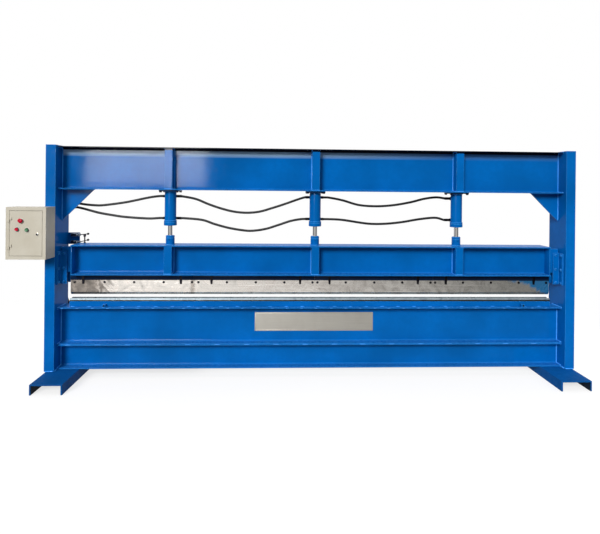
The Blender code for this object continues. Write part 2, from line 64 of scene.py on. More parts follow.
# The two posts and the two feet are hot rolled steel channel. The posts stand with
# their webs facing each other, welded upright on feet that lie toes down on the floor.
# The whole frame was sprayed with blue enamel after welding, over the weld beads too.
mm = 0.001
steel_edge = 4.5 * mm               # thinned paint along an edge, lightened also as a painted highlight, drawn twice as wide as the real 2 mm


def linear(code):
    """A colour written as sRGB hex, as the linear values that a shader takes."""
    parts = [int(code[start:start + 2], 16) / 255 for start in (1, 3, 5)]
    return (*(part / 12.92 if part <= 0.04045 else ((part + 0.055) / 1.055) ** 2.4 for part in parts), 1.0)


def add(tree, kind, inputs=None, **settings):
    """Add a shader node with its settings. An input is a number, a colour written as hex,
    one output of another node, or another node, whose first output it takes."""
    made = tree.nodes.new("ShaderNode" + kind)
    for name, value in settings.items():
        setattr(made, name, value)
    for name, value in (inputs or {}).items():
        if isinstance(value, bpy.types.Node):
            value = value.outputs[0]
        if isinstance(value, bpy.types.NodeSocket):
            tree.links.new(value, made.inputs[name])
        else:
            made.inputs[name].default_value = linear(value) if isinstance(value, str) else value
    return made


def start_material(name):
    """An empty material, its nodes, and the place of a point on the piece in metres."""
    material = bpy.data.materials.new(name)
    material.use_nodes = True
    material.node_tree.nodes.clear()
    return material, material.node_tree, add(material.node_tree, "TexCoord").outputs["Object"]


def sprayed_enamel(name, coat, shade, thin, roughness, dust_and_top_sheen="#4396E6", flange_under=None, shaded_channel_x=None):
    """Gloss enamel on rolled steel. The eye gets a cloudy film over a slightly wavy web, thinner and lighter
    on the edges, where the lighter tone is also a painted highlight, and on what faces up a tone of its own,
    partly dusting and partly a painted highlight from above. Under a top flange, at flange_under, a pale band
    on the web is a painted highlight, weaker to the right, and the flange's edge with the web just under it
    is painted near black as shade. The inside and the underside of a channel whose middle is given along X
    are painted dark as shade."""
    cloud, blotch, peel = 420 * mm, 35 * mm, 7 * mm      # real orange peel is 1 to 2 mm, too fine to show
    # A painted highlight band, a painted near-black shade for a flange's edge, and a painted shade for a
    # channel's inside.
    painted_light_band, painted_edge_shade, painted_inside_shade = "#8FB2D4", "#020A1C", "#0B1216"
    wave_length, wave_height = 230 * mm, 14 * mm         # marks of the rolls along a web
    material, tree, place = start_material(name)
    face = add(tree, "NewGeometry")
    clouds = add(tree, "TexNoise", {"Vector": place, "Scale": 1 / cloud, "Detail": 4.0})
    cloudy = add(tree, "MapRange", {"Value": clouds, "From Min": 0.38, "From Max": 0.66})
    blotches = add(tree, "TexNoise", {"Vector": place, "Scale": 1 / blotch, "Detail": 6.0})
    patchy = add(tree, "MapRange", {"Value": blotches, "From Min": 0.42, "From Max": 0.75, "To Max": 0.35})
    film = add(tree, "MixRGB", {"Fac": cloudy, "Color1": coat, "Color2": shade})
    film = add(tree, "MixRGB", {"Fac": patchy, "Color1": film, "Color2": shade})
    # The edges take the lighter thin tone: thinner paint, and a painted highlight along them too.
    rounded = add(tree, "Bevel", {"Radius": steel_edge}, samples=4)
    flatness = add(tree, "VectorMath", {0: rounded, 1: face.outputs["Normal"]}, operation="DOT_PRODUCT")
    edge = add(tree, "MapRange", {"Value": flatness.outputs["Value"], "From Min": 0.995, "From Max": 0.86,
                                  "To Max": 0.75})
    film = add(tree, "MixRGB", {"Fac": edge, "Color1": film, "Color2": thin})
    if flange_under:
        # A painted highlight band on the web under the top flange, weaker to the right, then the flange's
        # edge and the web just under it painted near black as shade.
        spot = add(tree, "SeparateXYZ", {"Vector": place})
        rising = add(tree, "MapRange", {"Value": spot.outputs["Z"], "From Min": flange_under - 66 * mm,
                                        "From Max": flange_under - 40 * mm})
        depth = add(tree, "Math", {0: spot.outputs["Y"]}, operation="ABSOLUTE")
        on_web = add(tree, "MapRange", {"Value": depth, "From Min": 14 * mm, "From Max": 22 * mm,
                                        "To Min": 1.0, "To Max": 0.0})
        light_fading_right = add(tree, "MapRange", {"Value": spot.outputs["X"], "From Min": -0.1, "From Max": 1.25,
                                        "To Min": 1.0, "To Max": 0.15})
        pale = add(tree, "Math", {0: rising, 1: on_web}, operation="MULTIPLY")
        pale = add(tree, "Math", {0: pale, 1: light_fading_right}, operation="MULTIPLY")
        film = add(tree, "MixRGB", {"Fac": pale, "Color1": film, "Color2": painted_light_band})
        scale = add(tree, "MapRange", {"Value": spot.outputs["Z"], "From Min": flange_under - 13 * mm,
                                       "From Max": flange_under - 9 * mm})
        film = add(tree, "MixRGB", {"Fac": scale, "Color1": film, "Color2": painted_edge_shade})
    facing = add(tree, "SeparateXYZ", {"Vector": face.outputs["Normal"]})
    if shaded_channel_x:
        # Painted shade: the channel's inner sides and what faces down are darkened nearly black.
        spot = add(tree, "SeparateXYZ", {"Vector": place})
        aside = add(tree, "Math", {0: spot.outputs["X"], 1: shaded_channel_x}, operation="SUBTRACT")
        outward = add(tree, "Math", {0: aside, 1: facing.outputs["X"]}, operation="MULTIPLY")
        inner_side = add(tree, "MapRange", {"Value": outward, "From Min": -20 * mm, "From Max": -10 * mm,
                                            "To Min": 0.92, "To Max": 0.0})
        underside = add(tree, "MapRange", {"Value": facing.outputs["Z"], "From Min": -0.9, "From Max": -0.6,
                                           "To Min": 0.92, "To Max": 0.0})
        inside = add(tree, "Math", {0: inner_side, 1: underside}, operation="MAXIMUM")
        film = add(tree, "MixRGB", {"Fac": inside, "Color1": film, "Color2": painted_inside_shade})
    # What faces up takes a tone of its own: dusting, and a painted highlight from above.
    level = add(tree, "MapRange", {"Value": facing.outputs["Z"], "From Min": 0.6, "From Max": 0.95})
    specks = add(tree, "TexNoise", {"Vector": place, "Scale": 1 / (12 * mm), "Detail": 8.0,
                                    "Roughness": 0.7})
    dusty = add(tree, "MapRange", {"Value": specks, "From Min": 0.35, "From Max": 0.8, "To Max": 0.50})
    dust_and_sheen_mask = add(tree, "Math", {0: level, 1: dusty}, operation="MULTIPLY")
    film = add(tree, "MixRGB", {"Fac": dust_and_sheen_mask, "Color1": film, "Color2": dust_and_top_sheen})
    dull = add(tree, "MapRange", {"Value": blotches, "From Min": 0.3, "From Max": 0.8,
                                  "To Min": roughness - 0.04, "To Max": roughness + 0.08})
    gloss = add(tree, "Math", {0: dull, 1: dust_and_sheen_mask}, operation="ADD")
    rolled_place = add(tree, "Mapping", {"Vector": place, "Scale": (1 / wave_length, 1 / wave_height,
                                                                    1 / wave_height)})
    waves = add(tree, "TexNoise", {"Vector": rolled_place, "Scale": 1.0, "Detail": 2.0})
    wavy = add(tree, "Bump", {"Height": waves, "Distance": 0.22 * mm, "Normal": rounded})
    peels = add(tree, "TexNoise", {"Vector": place, "Scale": 1 / peel, "Detail": 1.0})
    peeled = add(tree, "Bump", {"Height": peels, "Distance": 0.05 * mm, "Normal": wavy})
    shader = add(tree, "BsdfPrincipled", {"Base Color": film, "Roughness": gloss, "IOR": 1.5,
                                          "Specular IOR Level": 0.035, "Normal": peeled})
    add(tree, "OutputMaterial", {"Surface": shader})
    return material


def paint_nodes(names, material):
    """Give CAD nodes their finish."""
    for name in names:
        slots = nodes[name].data.materials
        if slots:
            slots[0] = material
        else:
            slots.append(material)


def finish_piece(name, work, material, body, crease=35, stands_for=None):
    """Make a named piece of mesh work, in its finish and riding on its body. It may stand
    for a CAD node."""
    bmesh.ops.recalc_face_normals(work, faces=work.faces)
    mesh = bpy.data.meshes.new(name)
    work.to_mesh(mesh)
    work.free()
    mesh.materials.append(material)
    mesh.shade_smooth()
    mesh.set_sharp_from_angle(angle=math.radians(crease))
    piece = bpy.data.objects.new(name, mesh)
    scene.collection.objects.link(piece)
    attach(piece, body)
    if stands_for:
        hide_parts(stands_for)
    return piece


def ring_of(work, centre, across, up, radii):
    """Add a loop of vertices around a centre, in the plane of two directions."""
    count = len(radii)
    return [work.verts.new(centre + across * (radius * math.cos(2 * math.pi * index / count))
                           + up * (radius * math.sin(2 * math.pi * index / count)))
            for index, radius in enumerate(radii)]


def skin(work, rings):
    """Join loops of vertices into a closed tube."""
    for near, far in zip(rings, rings[1:]):
        for index in range(len(near)):
            after = (index + 1) % len(near)
            work.faces.new((near[index], near[after], far[after], far[index]))
    work.faces.new(reversed(rings[0]))
    work.faces.new(rings[-1])


def bead(work, start, end, leg=6 * mm):
    """Add a hand-laid weld bead from point to point, with the ripples of its pool.
    Real ripples are 2 to 4 mm apart. These are 10 mm, so that they catch the light."""
    start, end = Vector(start), Vector(end)
    along = (end - start).normalized()
    turn = along.to_track_quat("Z", "Y").to_matrix()
    ripple, step, sides = 10 * mm, 3.3 * mm, 7
    count = max(3, round((end - start).length / step))
    rings = []
    for index in range(count + 1):
        centre = start.lerp(end, index / count)
        swell = 0.78 + 0.22 * abs(math.sin(math.pi * index * step / ripple))
        swell *= 1 + 0.25 * noise.noise(centre * 60)
        if index in (0, count):
            swell *= 0.5
        rings.append(ring_of(work, centre, turn.col[0], turn.col[1], [leg * swell] * sides))
    skin(work, rings)


blue_enamel = sprayed_enamel("blue alkyd enamel", "#0163B2", "#01569B", "#45A0F0", 0.14)
paint_nodes(["left_post", "right_post"], blue_enamel)
# The feet have a darker, duller copy of the enamel, with painted shade inside their channels.
for name in ("left_foot", "right_foot"):
    low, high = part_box(name)
    paint_nodes([name], sprayed_enamel(f"blue alkyd enamel, darker and duller, {name}", "#01549A", "#02447D", "#1D5FA0",
                                       0.50, "#17589C", shaded_channel_x=(low.x + high.x) / 2))
posts = {side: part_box(side + "_post") for side in ("left", "right")}
work = bmesh.new()
for side, (low, high) in posts.items():
    inner_x = high.x if side == "left" else low.x
    for y in (low.y, high.y):
        bead(work, (low.x + 6 * mm, y, low.z), (high.x - 6 * mm, y, low.z), 6 * mm)
    bead(work, (inner_x, low.y + 8 * mm, low.z), (inner_x, high.y - 8 * mm, low.z), 8 * mm)
# The beads' enamel is lighter and glossier than the frame's: thin paint over them, and their painted glints.
weld_glint_enamel = sprayed_enamel("blue alkyd enamel on weld beads", "#3F9AF0", "#1B7AD2", "#7CC0FA", 0.12)
finish_piece("post_welds", work, weld_glint_enamel, "frame", crease=60)


# The bed is two rolled I beams, one on the other, stitched together along their flanges
# and welded between the posts. The top beam is a third one, stiffened over each
# cylinder, and a gusset plate under each of its ends braces it against the post.
stitch_length, stitch_pitch = 45 * mm, 240 * mm
dab_length, dab_pitch = 22 * mm, 121 * mm
paint_nodes(["bed_lower_beam", "bed_upper_beam", "gusset_left", "gusset_right"], blue_enamel)


def stitches(work, start_x, end_x, y, z, length, pitch, leg):
    """Add a row of short welds along X, as even as a welder lays them by eye."""
    x = start_x
    while x + length < end_x:
        wander = 6 * mm * noise.noise(Vector((x * 9, y, z)))
        bead(work, (x + wander, y, z), (x + length + wander, y, z), leg)
        x += pitch


bed_low, bed_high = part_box("bed_upper_beam")
lower_low, lower_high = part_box("bed_lower_beam")
top_low, top_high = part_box("top_beam")
# The top beam's enamel paints a pale highlight band on the web under its top flange and paints that flange's
# edge near black as shade.
beam_enamel = sprayed_enamel("blue alkyd enamel of the top beam", "#0163B2", "#01569B", "#45A0F0", 0.07,
                             dust_and_top_sheen="#22303F", flange_under=top_high.z - 11 * mm)
paint_nodes(["top_beam"], beam_enamel)
bed_web, top_web = 3.3 * mm, 3 * mm     # half the webs' thickness
bed_flange, top_flange = 9 * mm, 9 * mm
work = bmesh.new()
for x in (bed_low.x, bed_high.x):
    for low, high, web, flange in ((lower_low, lower_high, bed_web, bed_flange),
                                   (bed_low, bed_high, bed_web, bed_flange),
                                   (top_low, top_high, top_web, top_flange)):
        for z in (low.z + flange, high.z - flange):
            for y in (low.y, high.y):
                bead(work, (x, y * 0.96, z), (x, web * (1 if y > 0 else -1), z), 6 * mm)
        for y in (-web, web):
            bead(work, (x, y, low.z + flange), (x, y, high.z - flange), 7 * mm)
    bead(work, (x, bed_low.y, bed_high.z), (x, bed_high.y, bed_high.z), 5 * mm)
    bead(work, (x, top_low.y, top_high.z), (x, top_high.y, top_high.z), 5 * mm)
for y in (bed_low.y + 1 * mm, bed_high.y - 1 * mm):
    stitches(work, bed_low.x + 60 * mm, bed_high.x - 60 * mm, y, bed_low.z, stitch_length, stitch_pitch,
             3.5 * mm)
    stitches(work, bed_low.x + 25 * mm, bed_high.x - 25 * mm, y, bed_high.z - 3 * mm, dab_length, dab_pitch,
             3 * mm)
finish_piece("bed_and_beam_welds", work, weld_glint_enamel, "frame", crease=60)


# Flat bars stiffen the beams at each cylinder. They are welded to the web and the flanges
# all round, and the gusset plates under the top beam along the post and the beam.
bar_half = 31 * mm                      # half the width of a stiffener
cylinder_names = ("left", "middle", "right")
cylinder_x = {}
for name in cylinder_names:
    low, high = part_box("piston_rod_" + name)
    cylinder_x[name] = (low.x + high.x) / 2


def stiffener_welds(work, low, high, web, flange, faces):
    """Add the welds round a beam's stiffeners, and a bead under them on the given faces."""
    bottom, top = low.z + flange, high.z - flange
    for x in cylinder_x.values():
        for edge_x in (x - bar_half, x + bar_half):
            for sign in (-1, 1):
                bead(work, (edge_x, sign * web, bottom), (edge_x, sign * web, top), 6 * mm)
                for z in (bottom, top):
                    bead(work, (edge_x, sign * web, z), (edge_x, sign * high.y * 0.97, z), 5 * mm)
        for sign in faces:
            y = sign * high.y * 0.975
            bead(work, (x - bar_half, y, bottom), (x + bar_half, y, bottom), 4 * mm)


work = bmesh.new()
stiffener_welds(work, top_low, top_high, top_web, top_flange, (-1, 1))
for side in ("left", "right"):
    low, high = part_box("gusset_" + side)
    post_x, far_x = (low.x, high.x) if side == "left" else (high.x, low.x)
    for y in (low.y, high.y):
        bead(work, (post_x, y, low.z + 8 * mm), (post_x, y, high.z), 6 * mm)
        bead(work, (post_x, y, high.z), (far_x, y, high.z), 6 * mm)
finish_piece("stiffener_and_gusset_welds", work, weld_glint_enamel, "frame", crease=60)


# The lower die is a long bar of tool steel with a V groove planed along its top. It lies
# on a flat steel bar that is welded down on the bed, painted with the bed, and held
# by a setting screw in a small block near each end.
def ground_steel(name, bright, worn, stain, roughness, overspray=None):
    """Ground tool steel, oiled and handled. The eye gets fine lines along the bar, cloudy brown and grey
    stains, a few long scratches, and a dull shine. On the blade it darkens towards the right end, a painted
    shade where the light falls off, the left end is darker with oil, and blue overspray ends raggedly at the
    right."""
    # mist is the blue overspray; the second tone is painted shade that darkens the blade towards its right
    # end.
    mist, oil = "#065580", "#5B605C"
    grind_line, cloud, speck = 5 * mm, 130 * mm, 14 * mm    # real grinding lines are 0.2 mm, too fine to show
    material, tree, place = start_material(name)
    swirl = add(tree, "TexNoise", {"Vector": place, "Scale": 1 / cloud, "Detail": 7.0, "Roughness": 0.62,
                                   "Distortion": 2.2})
    stained = add(tree, "MapRange", {"Value": swirl, "From Min": 0.40, "From Max": 0.68})
    surface = add(tree, "MixRGB", {"Fac": stained, "Color1": bright, "Color2": worn})
    spots = add(tree, "TexNoise", {"Vector": place, "Scale": 1 / speck, "Detail": 8.0, "Roughness": 0.75,
                                   "Distortion": 1.0})
    spotted = add(tree, "MapRange", {"Value": spots, "From Min": 0.58, "From Max": 0.75, "To Max": 0.40})
    surface = add(tree, "MixRGB", {"Fac": spotted, "Color1": surface, "Color2": stain})
    lengthwise = add(tree, "Mapping", {"Vector": place, "Scale": (1.2, 1 / grind_line, 1 / grind_line)})
    lines = add(tree, "TexNoise", {"Vector": lengthwise, "Scale": 1.0, "Detail": 3.0})
    lined = add(tree, "MapRange", {"Value": lines, "From Min": 0.35, "From Max": 0.65, "To Max": 0.22})
    surface = add(tree, "MixRGB", {"Fac": lined, "Color1": surface, "Color2": worn})
    slanted = add(tree, "Mapping", {"Vector": place, "Rotation": (0.0, math.radians(52), 0.0),
                                    "Scale": (1.6, 1.0, 1 / (9 * mm))})
    scratches = add(tree, "TexNoise", {"Vector": slanted, "Scale": 1.0, "Detail": 5.0})
    scratched = add(tree, "MapRange", {"Value": scratches, "From Min": 0.55, "From Max": 0.64,
                                       "To Max": 0.7})
    surface = add(tree, "MixRGB", {"Fac": scratched, "Color1": surface, "Color2": bright})
    metal = 1.0
    if overspray:
        oil_run_x = -0.87           # oil that has run down at the blade's first joint
        reach = add(tree, "SeparateXYZ", {"Vector": place})
        # The first ramp darkens the blade towards its right end as painted shade where the light falls off;
        # the second is oil at the left end.
        for start, full, amount, tone in ((-0.05, 2.1, 0.70, oil), (-1.52, -1.66, 0.85, stain)):
            wander = add(tree, "Math", {0: swirl, 1: 0.5, 2: reach.outputs["X"]}, operation="MULTIPLY_ADD")
            oil_and_falloff_shade = add(tree, "MapRange", {"Value": wander, "From Min": start + 0.25,
                                          "From Max": full + 0.25, "To Max": amount})
            surface = add(tree, "MixRGB", {"Fac": oil_and_falloff_shade, "Color1": surface, "Color2": tone})
        aside = add(tree, "Math", {0: spots, 1: 0.06, 2: reach.outputs["X"]}, operation="MULTIPLY_ADD")
        aside = add(tree, "Math", {0: aside, 1: oil_run_x}, operation="SUBTRACT")
        aside = add(tree, "Math", {0: aside}, operation="ABSOLUTE")
        oil_run = add(tree, "MapRange", {"Value": aside, "From Min": 9 * mm, "From Max": 26 * mm,
                                         "To Min": 0.6, "To Max": 0.0})
        surface = add(tree, "MixRGB", {"Fac": oil_run, "Color1": surface, "Color2": stain})
        ragged = add(tree, "Math", {0: swirl, 1: 0.45, 2: reach.outputs["X"]}, operation="MULTIPLY_ADD")
        raised = add(tree, "Math", {0: reach.outputs["Z"], 1: 2.6, 2: ragged}, operation="MULTIPLY_ADD")
        covered = add(tree, "MapRange", {"Value": raised, "From Min": overspray - 0.03,
                                         "From Max": overspray + 0.05})
        surface = add(tree, "MixRGB", {"Fac": covered, "Color1": surface, "Color2": mist})
        metal = add(tree, "Math", {0: 1.0, 1: covered}, operation="SUBTRACT")
    dull = add(tree, "MapRange", {"Value": swirl, "From Min": 0.3, "From Max": 0.7,
                                  "To Min": roughness - 0.07, "To Max": roughness + 0.12})
    ground = add(tree, "Bump", {"Height": lines, "Distance": 0.04 * mm})
    shader = add(tree, "BsdfPrincipled", {"Base Color": surface, "Metallic": metal, "Roughness": dull,
                                          "Normal": ground})
    add(tree, "OutputMaterial", {"Surface": shader})
    return material


def plated_steel(name, colour, dark, roughness, grain=18 * mm):
    """Zinc plated or blackened hardware steel. The eye gets a soft grey or black metal,
    a little blotchy where hands and oil have dulled it."""
    material, tree, place = start_material(name)
    blotches = add(tree, "TexNoise", {"Vector": place, "Scale": 1 / grain, "Detail": 5.0,
                                      "Roughness": 0.65})
    blotchy = add(tree, "MapRange", {"Value": blotches, "From Min": 0.4, "From Max": 0.7})
    surface = add(tree, "MixRGB", {"Fac": blotchy, "Color1": colour, "Color2": dark})
    dull = add(tree, "MapRange", {"Value": blotches, "From Min": 0.3, "From Max": 0.75,
                                  "To Min": roughness - 0.06, "To Max": roughness + 0.14})
    pits = add(tree, "TexNoise", {"Vector": place, "Scale": 1 / (3 * mm), "Detail": 3.0})
    pitted = add(tree, "Bump", {"Height": pits, "Distance": 0.03 * mm})
    shader = add(tree, "BsdfPrincipled", {"Base Color": surface, "Metallic": 1.0, "Roughness": dull,
                                          "Normal": pitted})
    add(tree, "OutputMaterial", {"Surface": shader})
    return material


def block(work, low, high, edge=0.0, segments=2):
    """Add a box between two corners, with rounded edges where edge is given."""
    low, high = Vector(low), Vector(high)
    place = Matrix.Translation((low + high) / 2) @ Matrix.Diagonal((*(high - low), 1.0))
    corners = bmesh.ops.create_cube(work, size=1.0, matrix=place)["verts"]
    if edge:
        edges = list(dict.fromkeys(line for corner in corners for line in corner.link_edges))
        bmesh.ops.bevel(work, geom=edges, offset=edge, segments=segments, affect="EDGES", profile=0.5)


def off(point, x, y, z):
    """The point so many millimetres from another."""
    return Vector((point[0] + x * mm, point[1] + y * mm, point[2] + z * mm))


def in_mm(*points):
    """A turned profile whose radii and heights are written in millimetres."""
    return [(radius * mm, height * mm) for radius, height in points]


def lathe(work, profile, centre, axis, sides=40, waves=0, depth=0.0):
    """Add a turned shape from (radius, height) points along an axis. Six sides make a
    hexagon, and waves with their depth make a knurled or splined rim."""
    centre, turn = Vector(centre), Vector(axis).to_track_quat("Z", "Y").to_matrix()
    rings = []
    for radius, height in profile:
        radii = [radius * (1 - depth * (index * waves // sides % 2 if waves else 0))
                 for index in range(sides)]
        rings.append(ring_of(work, centre + turn.col[2] * height, turn.col[0], turn.col[1], radii))
    skin(work, rings)


def hex_bolt(work, place, axis, across, washer=True):
    """Add a hexagon bolt's head on its washer, seated on the face at a place."""
    corner, height = across / math.sqrt(3), across * 0.42
    seat = 0.0
    if washer:
        seat = across * 0.10
        lathe(work, [(across * 0.72, 0), (across * 0.72, seat * 0.7), (across * 0.68, seat)], place, axis, 28)
    lathe(work, [(corner, seat), (corner, seat + height * 0.8), (corner * 0.88, seat + height)], place,
          axis, 6)


def socket_screw(work, place, axis, diameter, proud):
    """Add a socket head screw, with the hexagon hole that its key turns."""
    radius, hole, deep = diameter / 2, diameter * 0.29, proud * 0.9
    lathe(work, [(radius, 0), (radius, proud * 0.85), (radius * 0.93, proud), (hole * 1.15, proud),
                 (hole, proud - deep * 0.3), (hole, proud - deep)], place, axis, 24)


die_steel = ground_steel("planed die steel", "#A9B6BD", "#6F7C84", "#2C343C", 0.30)
black_steel = plated_steel("black oxide steel", "#121217", "#08080B", 0.42)
zinc_steel = plated_steel("zinc plated steel", "#A9A8A2", "#807E78", 0.36)
paint_nodes(["die_holder_bar"], blue_enamel)
paint_nodes(["lower_die"], die_steel)
holder_low, holder_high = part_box("die_holder_bar")
work = bmesh.new()
for y in (holder_low.y, holder_high.y):
    stitches(work, holder_low.x + 8 * mm, holder_high.x, y, holder_low.z, 30 * mm, 134 * mm, 5 * mm)
finish_piece("die_bar_welds", work, weld_glint_enamel, "frame", crease=60)
die_low, die_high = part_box("lower_die")
foot_high, foot_proud = 10 * mm, 4.5 * mm


def face_strip(work, low_x, high_x, y, outward, proud, low_z, high_z, edge):
    """Add a strip that lies on an upright face and stands proud of it."""
    block(work, (low_x, min(y, y + outward * proud), low_z), (high_x, max(y, y + outward * proud), high_z),
          edge)


# A black ledge runs along each foot of the die; its black also paints the shade where the die meets its bar.
work = bmesh.new()
for y, outward in ((die_low.y, -1), (die_high.y, 1)):
    face_strip(work, die_low.x, die_high.x, y, outward, foot_proud, die_low.z, die_low.z + foot_high, 1 * mm)
finish_piece("die_foot_ledges_with_shade", work, black_steel, "frame")
stop_places = (holder_low.x + 285 * mm, holder_high.x - 245 * mm)
stop_front, stop_back, stop_high = holder_low.y - 30 * mm, holder_low.y - 0.3 * mm, 24 * mm
work = bmesh.new()
for x in stop_places:
    block(work, (x - 14 * mm, stop_front, holder_low.z), (x + 14 * mm, stop_back, holder_low.z + stop_high),
          2 * mm)
    bead(work, (x - 14 * mm, stop_front, holder_low.z), (x + 14 * mm, stop_front, holder_low.z), 3 * mm)
finish_piece("die_stop_blocks", work, blue_enamel, "frame")
work = bmesh.new()
for x in stop_places:
    hex_bolt(work, (x, stop_front, holder_low.z + 13 * mm), (0, -1, 0), 13 * mm, washer=False)
finish_piece("die_stop_screws", work, black_steel, "frame")


# The guides are machined steel angles. One leg lies on the post and the other stands out
# beside the shoe of the moving beam, which slides between the front and the rear pair in
# grease. Hexagon bolts hold the wear strips on them, and a weld runs along the post.
guide_bolt = 17 * mm                    # across the flats
bolt_heights = (16 * mm, 127 * mm, 247 * mm)
mouth_face, seat_bolt_y = 40 * mm, 72 * mm
leg_bolt, seat_thick = 35 * mm, 10 * mm
paint_nodes(["guide_left_front", "guide_left_rear", "guide_right_front", "guide_right_rear"], blue_enamel)
paint_nodes(["slide_shoe_left", "slide_shoe_right"], blue_enamel)
work = bmesh.new()
welds = bmesh.new()
for side, inward in (("left", 1), ("right", -1)):
    for face, outward in (("front", -1), ("rear", 1)):
        low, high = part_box(f"guide_{side}_{face}")
        post_x = low.x if side == "left" else high.x
        for height in bolt_heights:
            hex_bolt(work, (post_x + inward * leg_bolt, outward * mouth_face, low.z + height),
                     (0, outward, 0), guide_bolt)
            hex_bolt(work, (post_x + inward * seat_thick, outward * seat_bolt_y, low.z + height),
                     (inward, 0, 0), guide_bolt)
        edge_y = low.y if outward < 0 else high.y
        bead(welds, (post_x, edge_y, low.z + 4 * mm), (post_x, edge_y, high.z - 4 * mm), 4 * mm)
finish_piece("guide_bolts", work, blue_enamel, "frame")
finish_piece("guide_welds", welds, blue_enamel, "frame", crease=60)


# The moving beam, or ram, is a rolled I beam with stiffeners under its three cylinders and
# a plate welded across each end, painted with the frame. It hangs on the piston rods and
# carries the blade under its lower flange.
ram_low, ram_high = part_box("moving_beam")
ram_web, ram_flange = 3.5 * mm, 11 * mm
paint_nodes(["moving_beam"], blue_enamel)
work = bmesh.new()
stiffener_welds(work, ram_low, ram_high, ram_web, ram_flange, (-1,))
finish_piece("ram_welds", work, weld_glint_enamel, "ram", crease=60)
plate_gap, plate_width = 0.5 * mm, 8 * mm
work = bmesh.new()
for near in (ram_low.x + plate_gap, ram_high.x - plate_gap - plate_width):
    block(work, (near, ram_low.y + 5 * mm, ram_low.z + ram_flange - 1 * mm),
          (near + plate_width, ram_high.y - 5 * mm, ram_high.z - ram_flange + 1 * mm), 1.5 * mm)
finish_piece("ram_end_plates", work, blue_enamel, "ram")


# The blade is four ground bars of tool steel, a metre each, butted end to end. Socket screws hold each one
# under the ram, between two near-black clamp strips with steadying fingers; the strips' near-black also
# paints the shade under the ram's flange.
# The ram was sprayed with the blade in place, which left blue mist at the right end.
screw_drop, screw_size = 66 * mm, 20 * mm
screw_steps = ((33, 273, 513, 753, 984), (37, 272, 511, 748, 982), (24, 262, 502, 740, 980),
               (20, 258, 498, 738, 976))    # of each segment, in millimetres from its left end
finger_steps = ((102, 894), (145, 879), (125, 872), (110, 866))
finger_width, finger_tip, finger_length, finger_depth = 20 * mm, 14 * mm, 82 * mm, 9 * mm
strip_height, strip_thick = 48 * mm, 6 * mm
# A near-black blue enamel: on the clamp strips and the cylinder plates it is painted shade under a flange, on
# the switch covers their own dark colour.
dark_and_shade_enamel = sprayed_enamel("dark blue alkyd enamel, partly painted shade", "#0D2443", "#0A1930", "#1B3F66", 0.30)
blade_steel = ground_steel("ground blade steel", "#E4DFD8", "#9C958F", "#6B635C", 0.22, overspray=4.06)


def prism(work, sections):
    """Add a bar through its cross sections, each a list of corners."""
    skin(work, [[work.verts.new(corner) for corner in section] for section in sections])


work = bmesh.new()
strips = bmesh.new()
fingers = bmesh.new()
for index in range(4):
    name = f"blade_segment_{index + 1}"
    paint_nodes([name], blade_steel)
    low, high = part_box(name)
    for y, outward in ((low.y, -1), (high.y, 1)):
        face_strip(strips, low.x + 0.5 * mm, high.x - 0.5 * mm, y, outward, strip_thick,
                   high.z - strip_height, high.z, 1.2 * mm)
    for step in screw_steps[index]:
        for y, outward in ((low.y, -1), (high.y, 1)):
            socket_screw(work, (low.x + step * mm, y, high.z - screw_drop), (0, outward, 0), screw_size,
                         2.5 * mm)
    for step in finger_steps[index]:
        x, top, back = low.x + step * mm, ram_low.z + 1 * mm, low.y + 0.5 * mm
        prism(fingers, [[(x + side * width / 2, y, z) for side, y in (
            (-1, back), (1, back), (1, back - finger_depth), (-1, back - finger_depth))]
            for z, width in ((top, finger_width), (top - finger_length * 0.6, finger_width),
                             (top - finger_length, finger_tip))])
finish_piece("blade_screws", work, black_steel, "ram")
# The strips' near-black paints the shade under the ram's flange.
finish_piece("blade_clamp_strips", strips, dark_and_shade_enamel, "ram")
finger_piece = finish_piece("blade_clamp_fingers", fingers, black_steel, "ram")
rounding = finger_piece.modifiers.new("Rounded edges", "BEVEL")
rounding.width = 1.2 * mm
rounding.segments = 2
rounding.limit_method = "ANGLE"


# Each cylinder is a honed steel tube with a thick plate welded on its top, bolted under
# the top beam, and a screwed gland cap at its lower end. Its ports point to the back.
# The outside is painted with the frame, the top plate in a near-black enamel that is painted shade under the
# top beam, and the bolts are left black.
plate_bolt = 19 * mm
cylinder_box = {name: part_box("cylinder_" + name) for name in cylinder_names}
tube_radius, cap_radius, cap_height = 47 * mm, 52.5 * mm, 42 * mm
plate_half, plate_thick, bolt_step = 78.5 * mm, 10 * mm, 67 * mm
port_drops = (52 * mm, 237 * mm)
boss_half, tee_back, tee_half, tee_radius = 11.8 * mm, 70 * mm, 32 * mm, 15 * mm


def round_weld(work, x, z, radius, steps, leg):
    """Add a weld bead round a tube that stands on a plate."""
    ring = [(x + radius * math.cos(2 * math.pi * step / steps),
             radius * math.sin(2 * math.pi * step / steps), z) for step in range(steps + 1)]
    for start, end in zip(ring, ring[1:]):
        bead(work, start, end, leg)


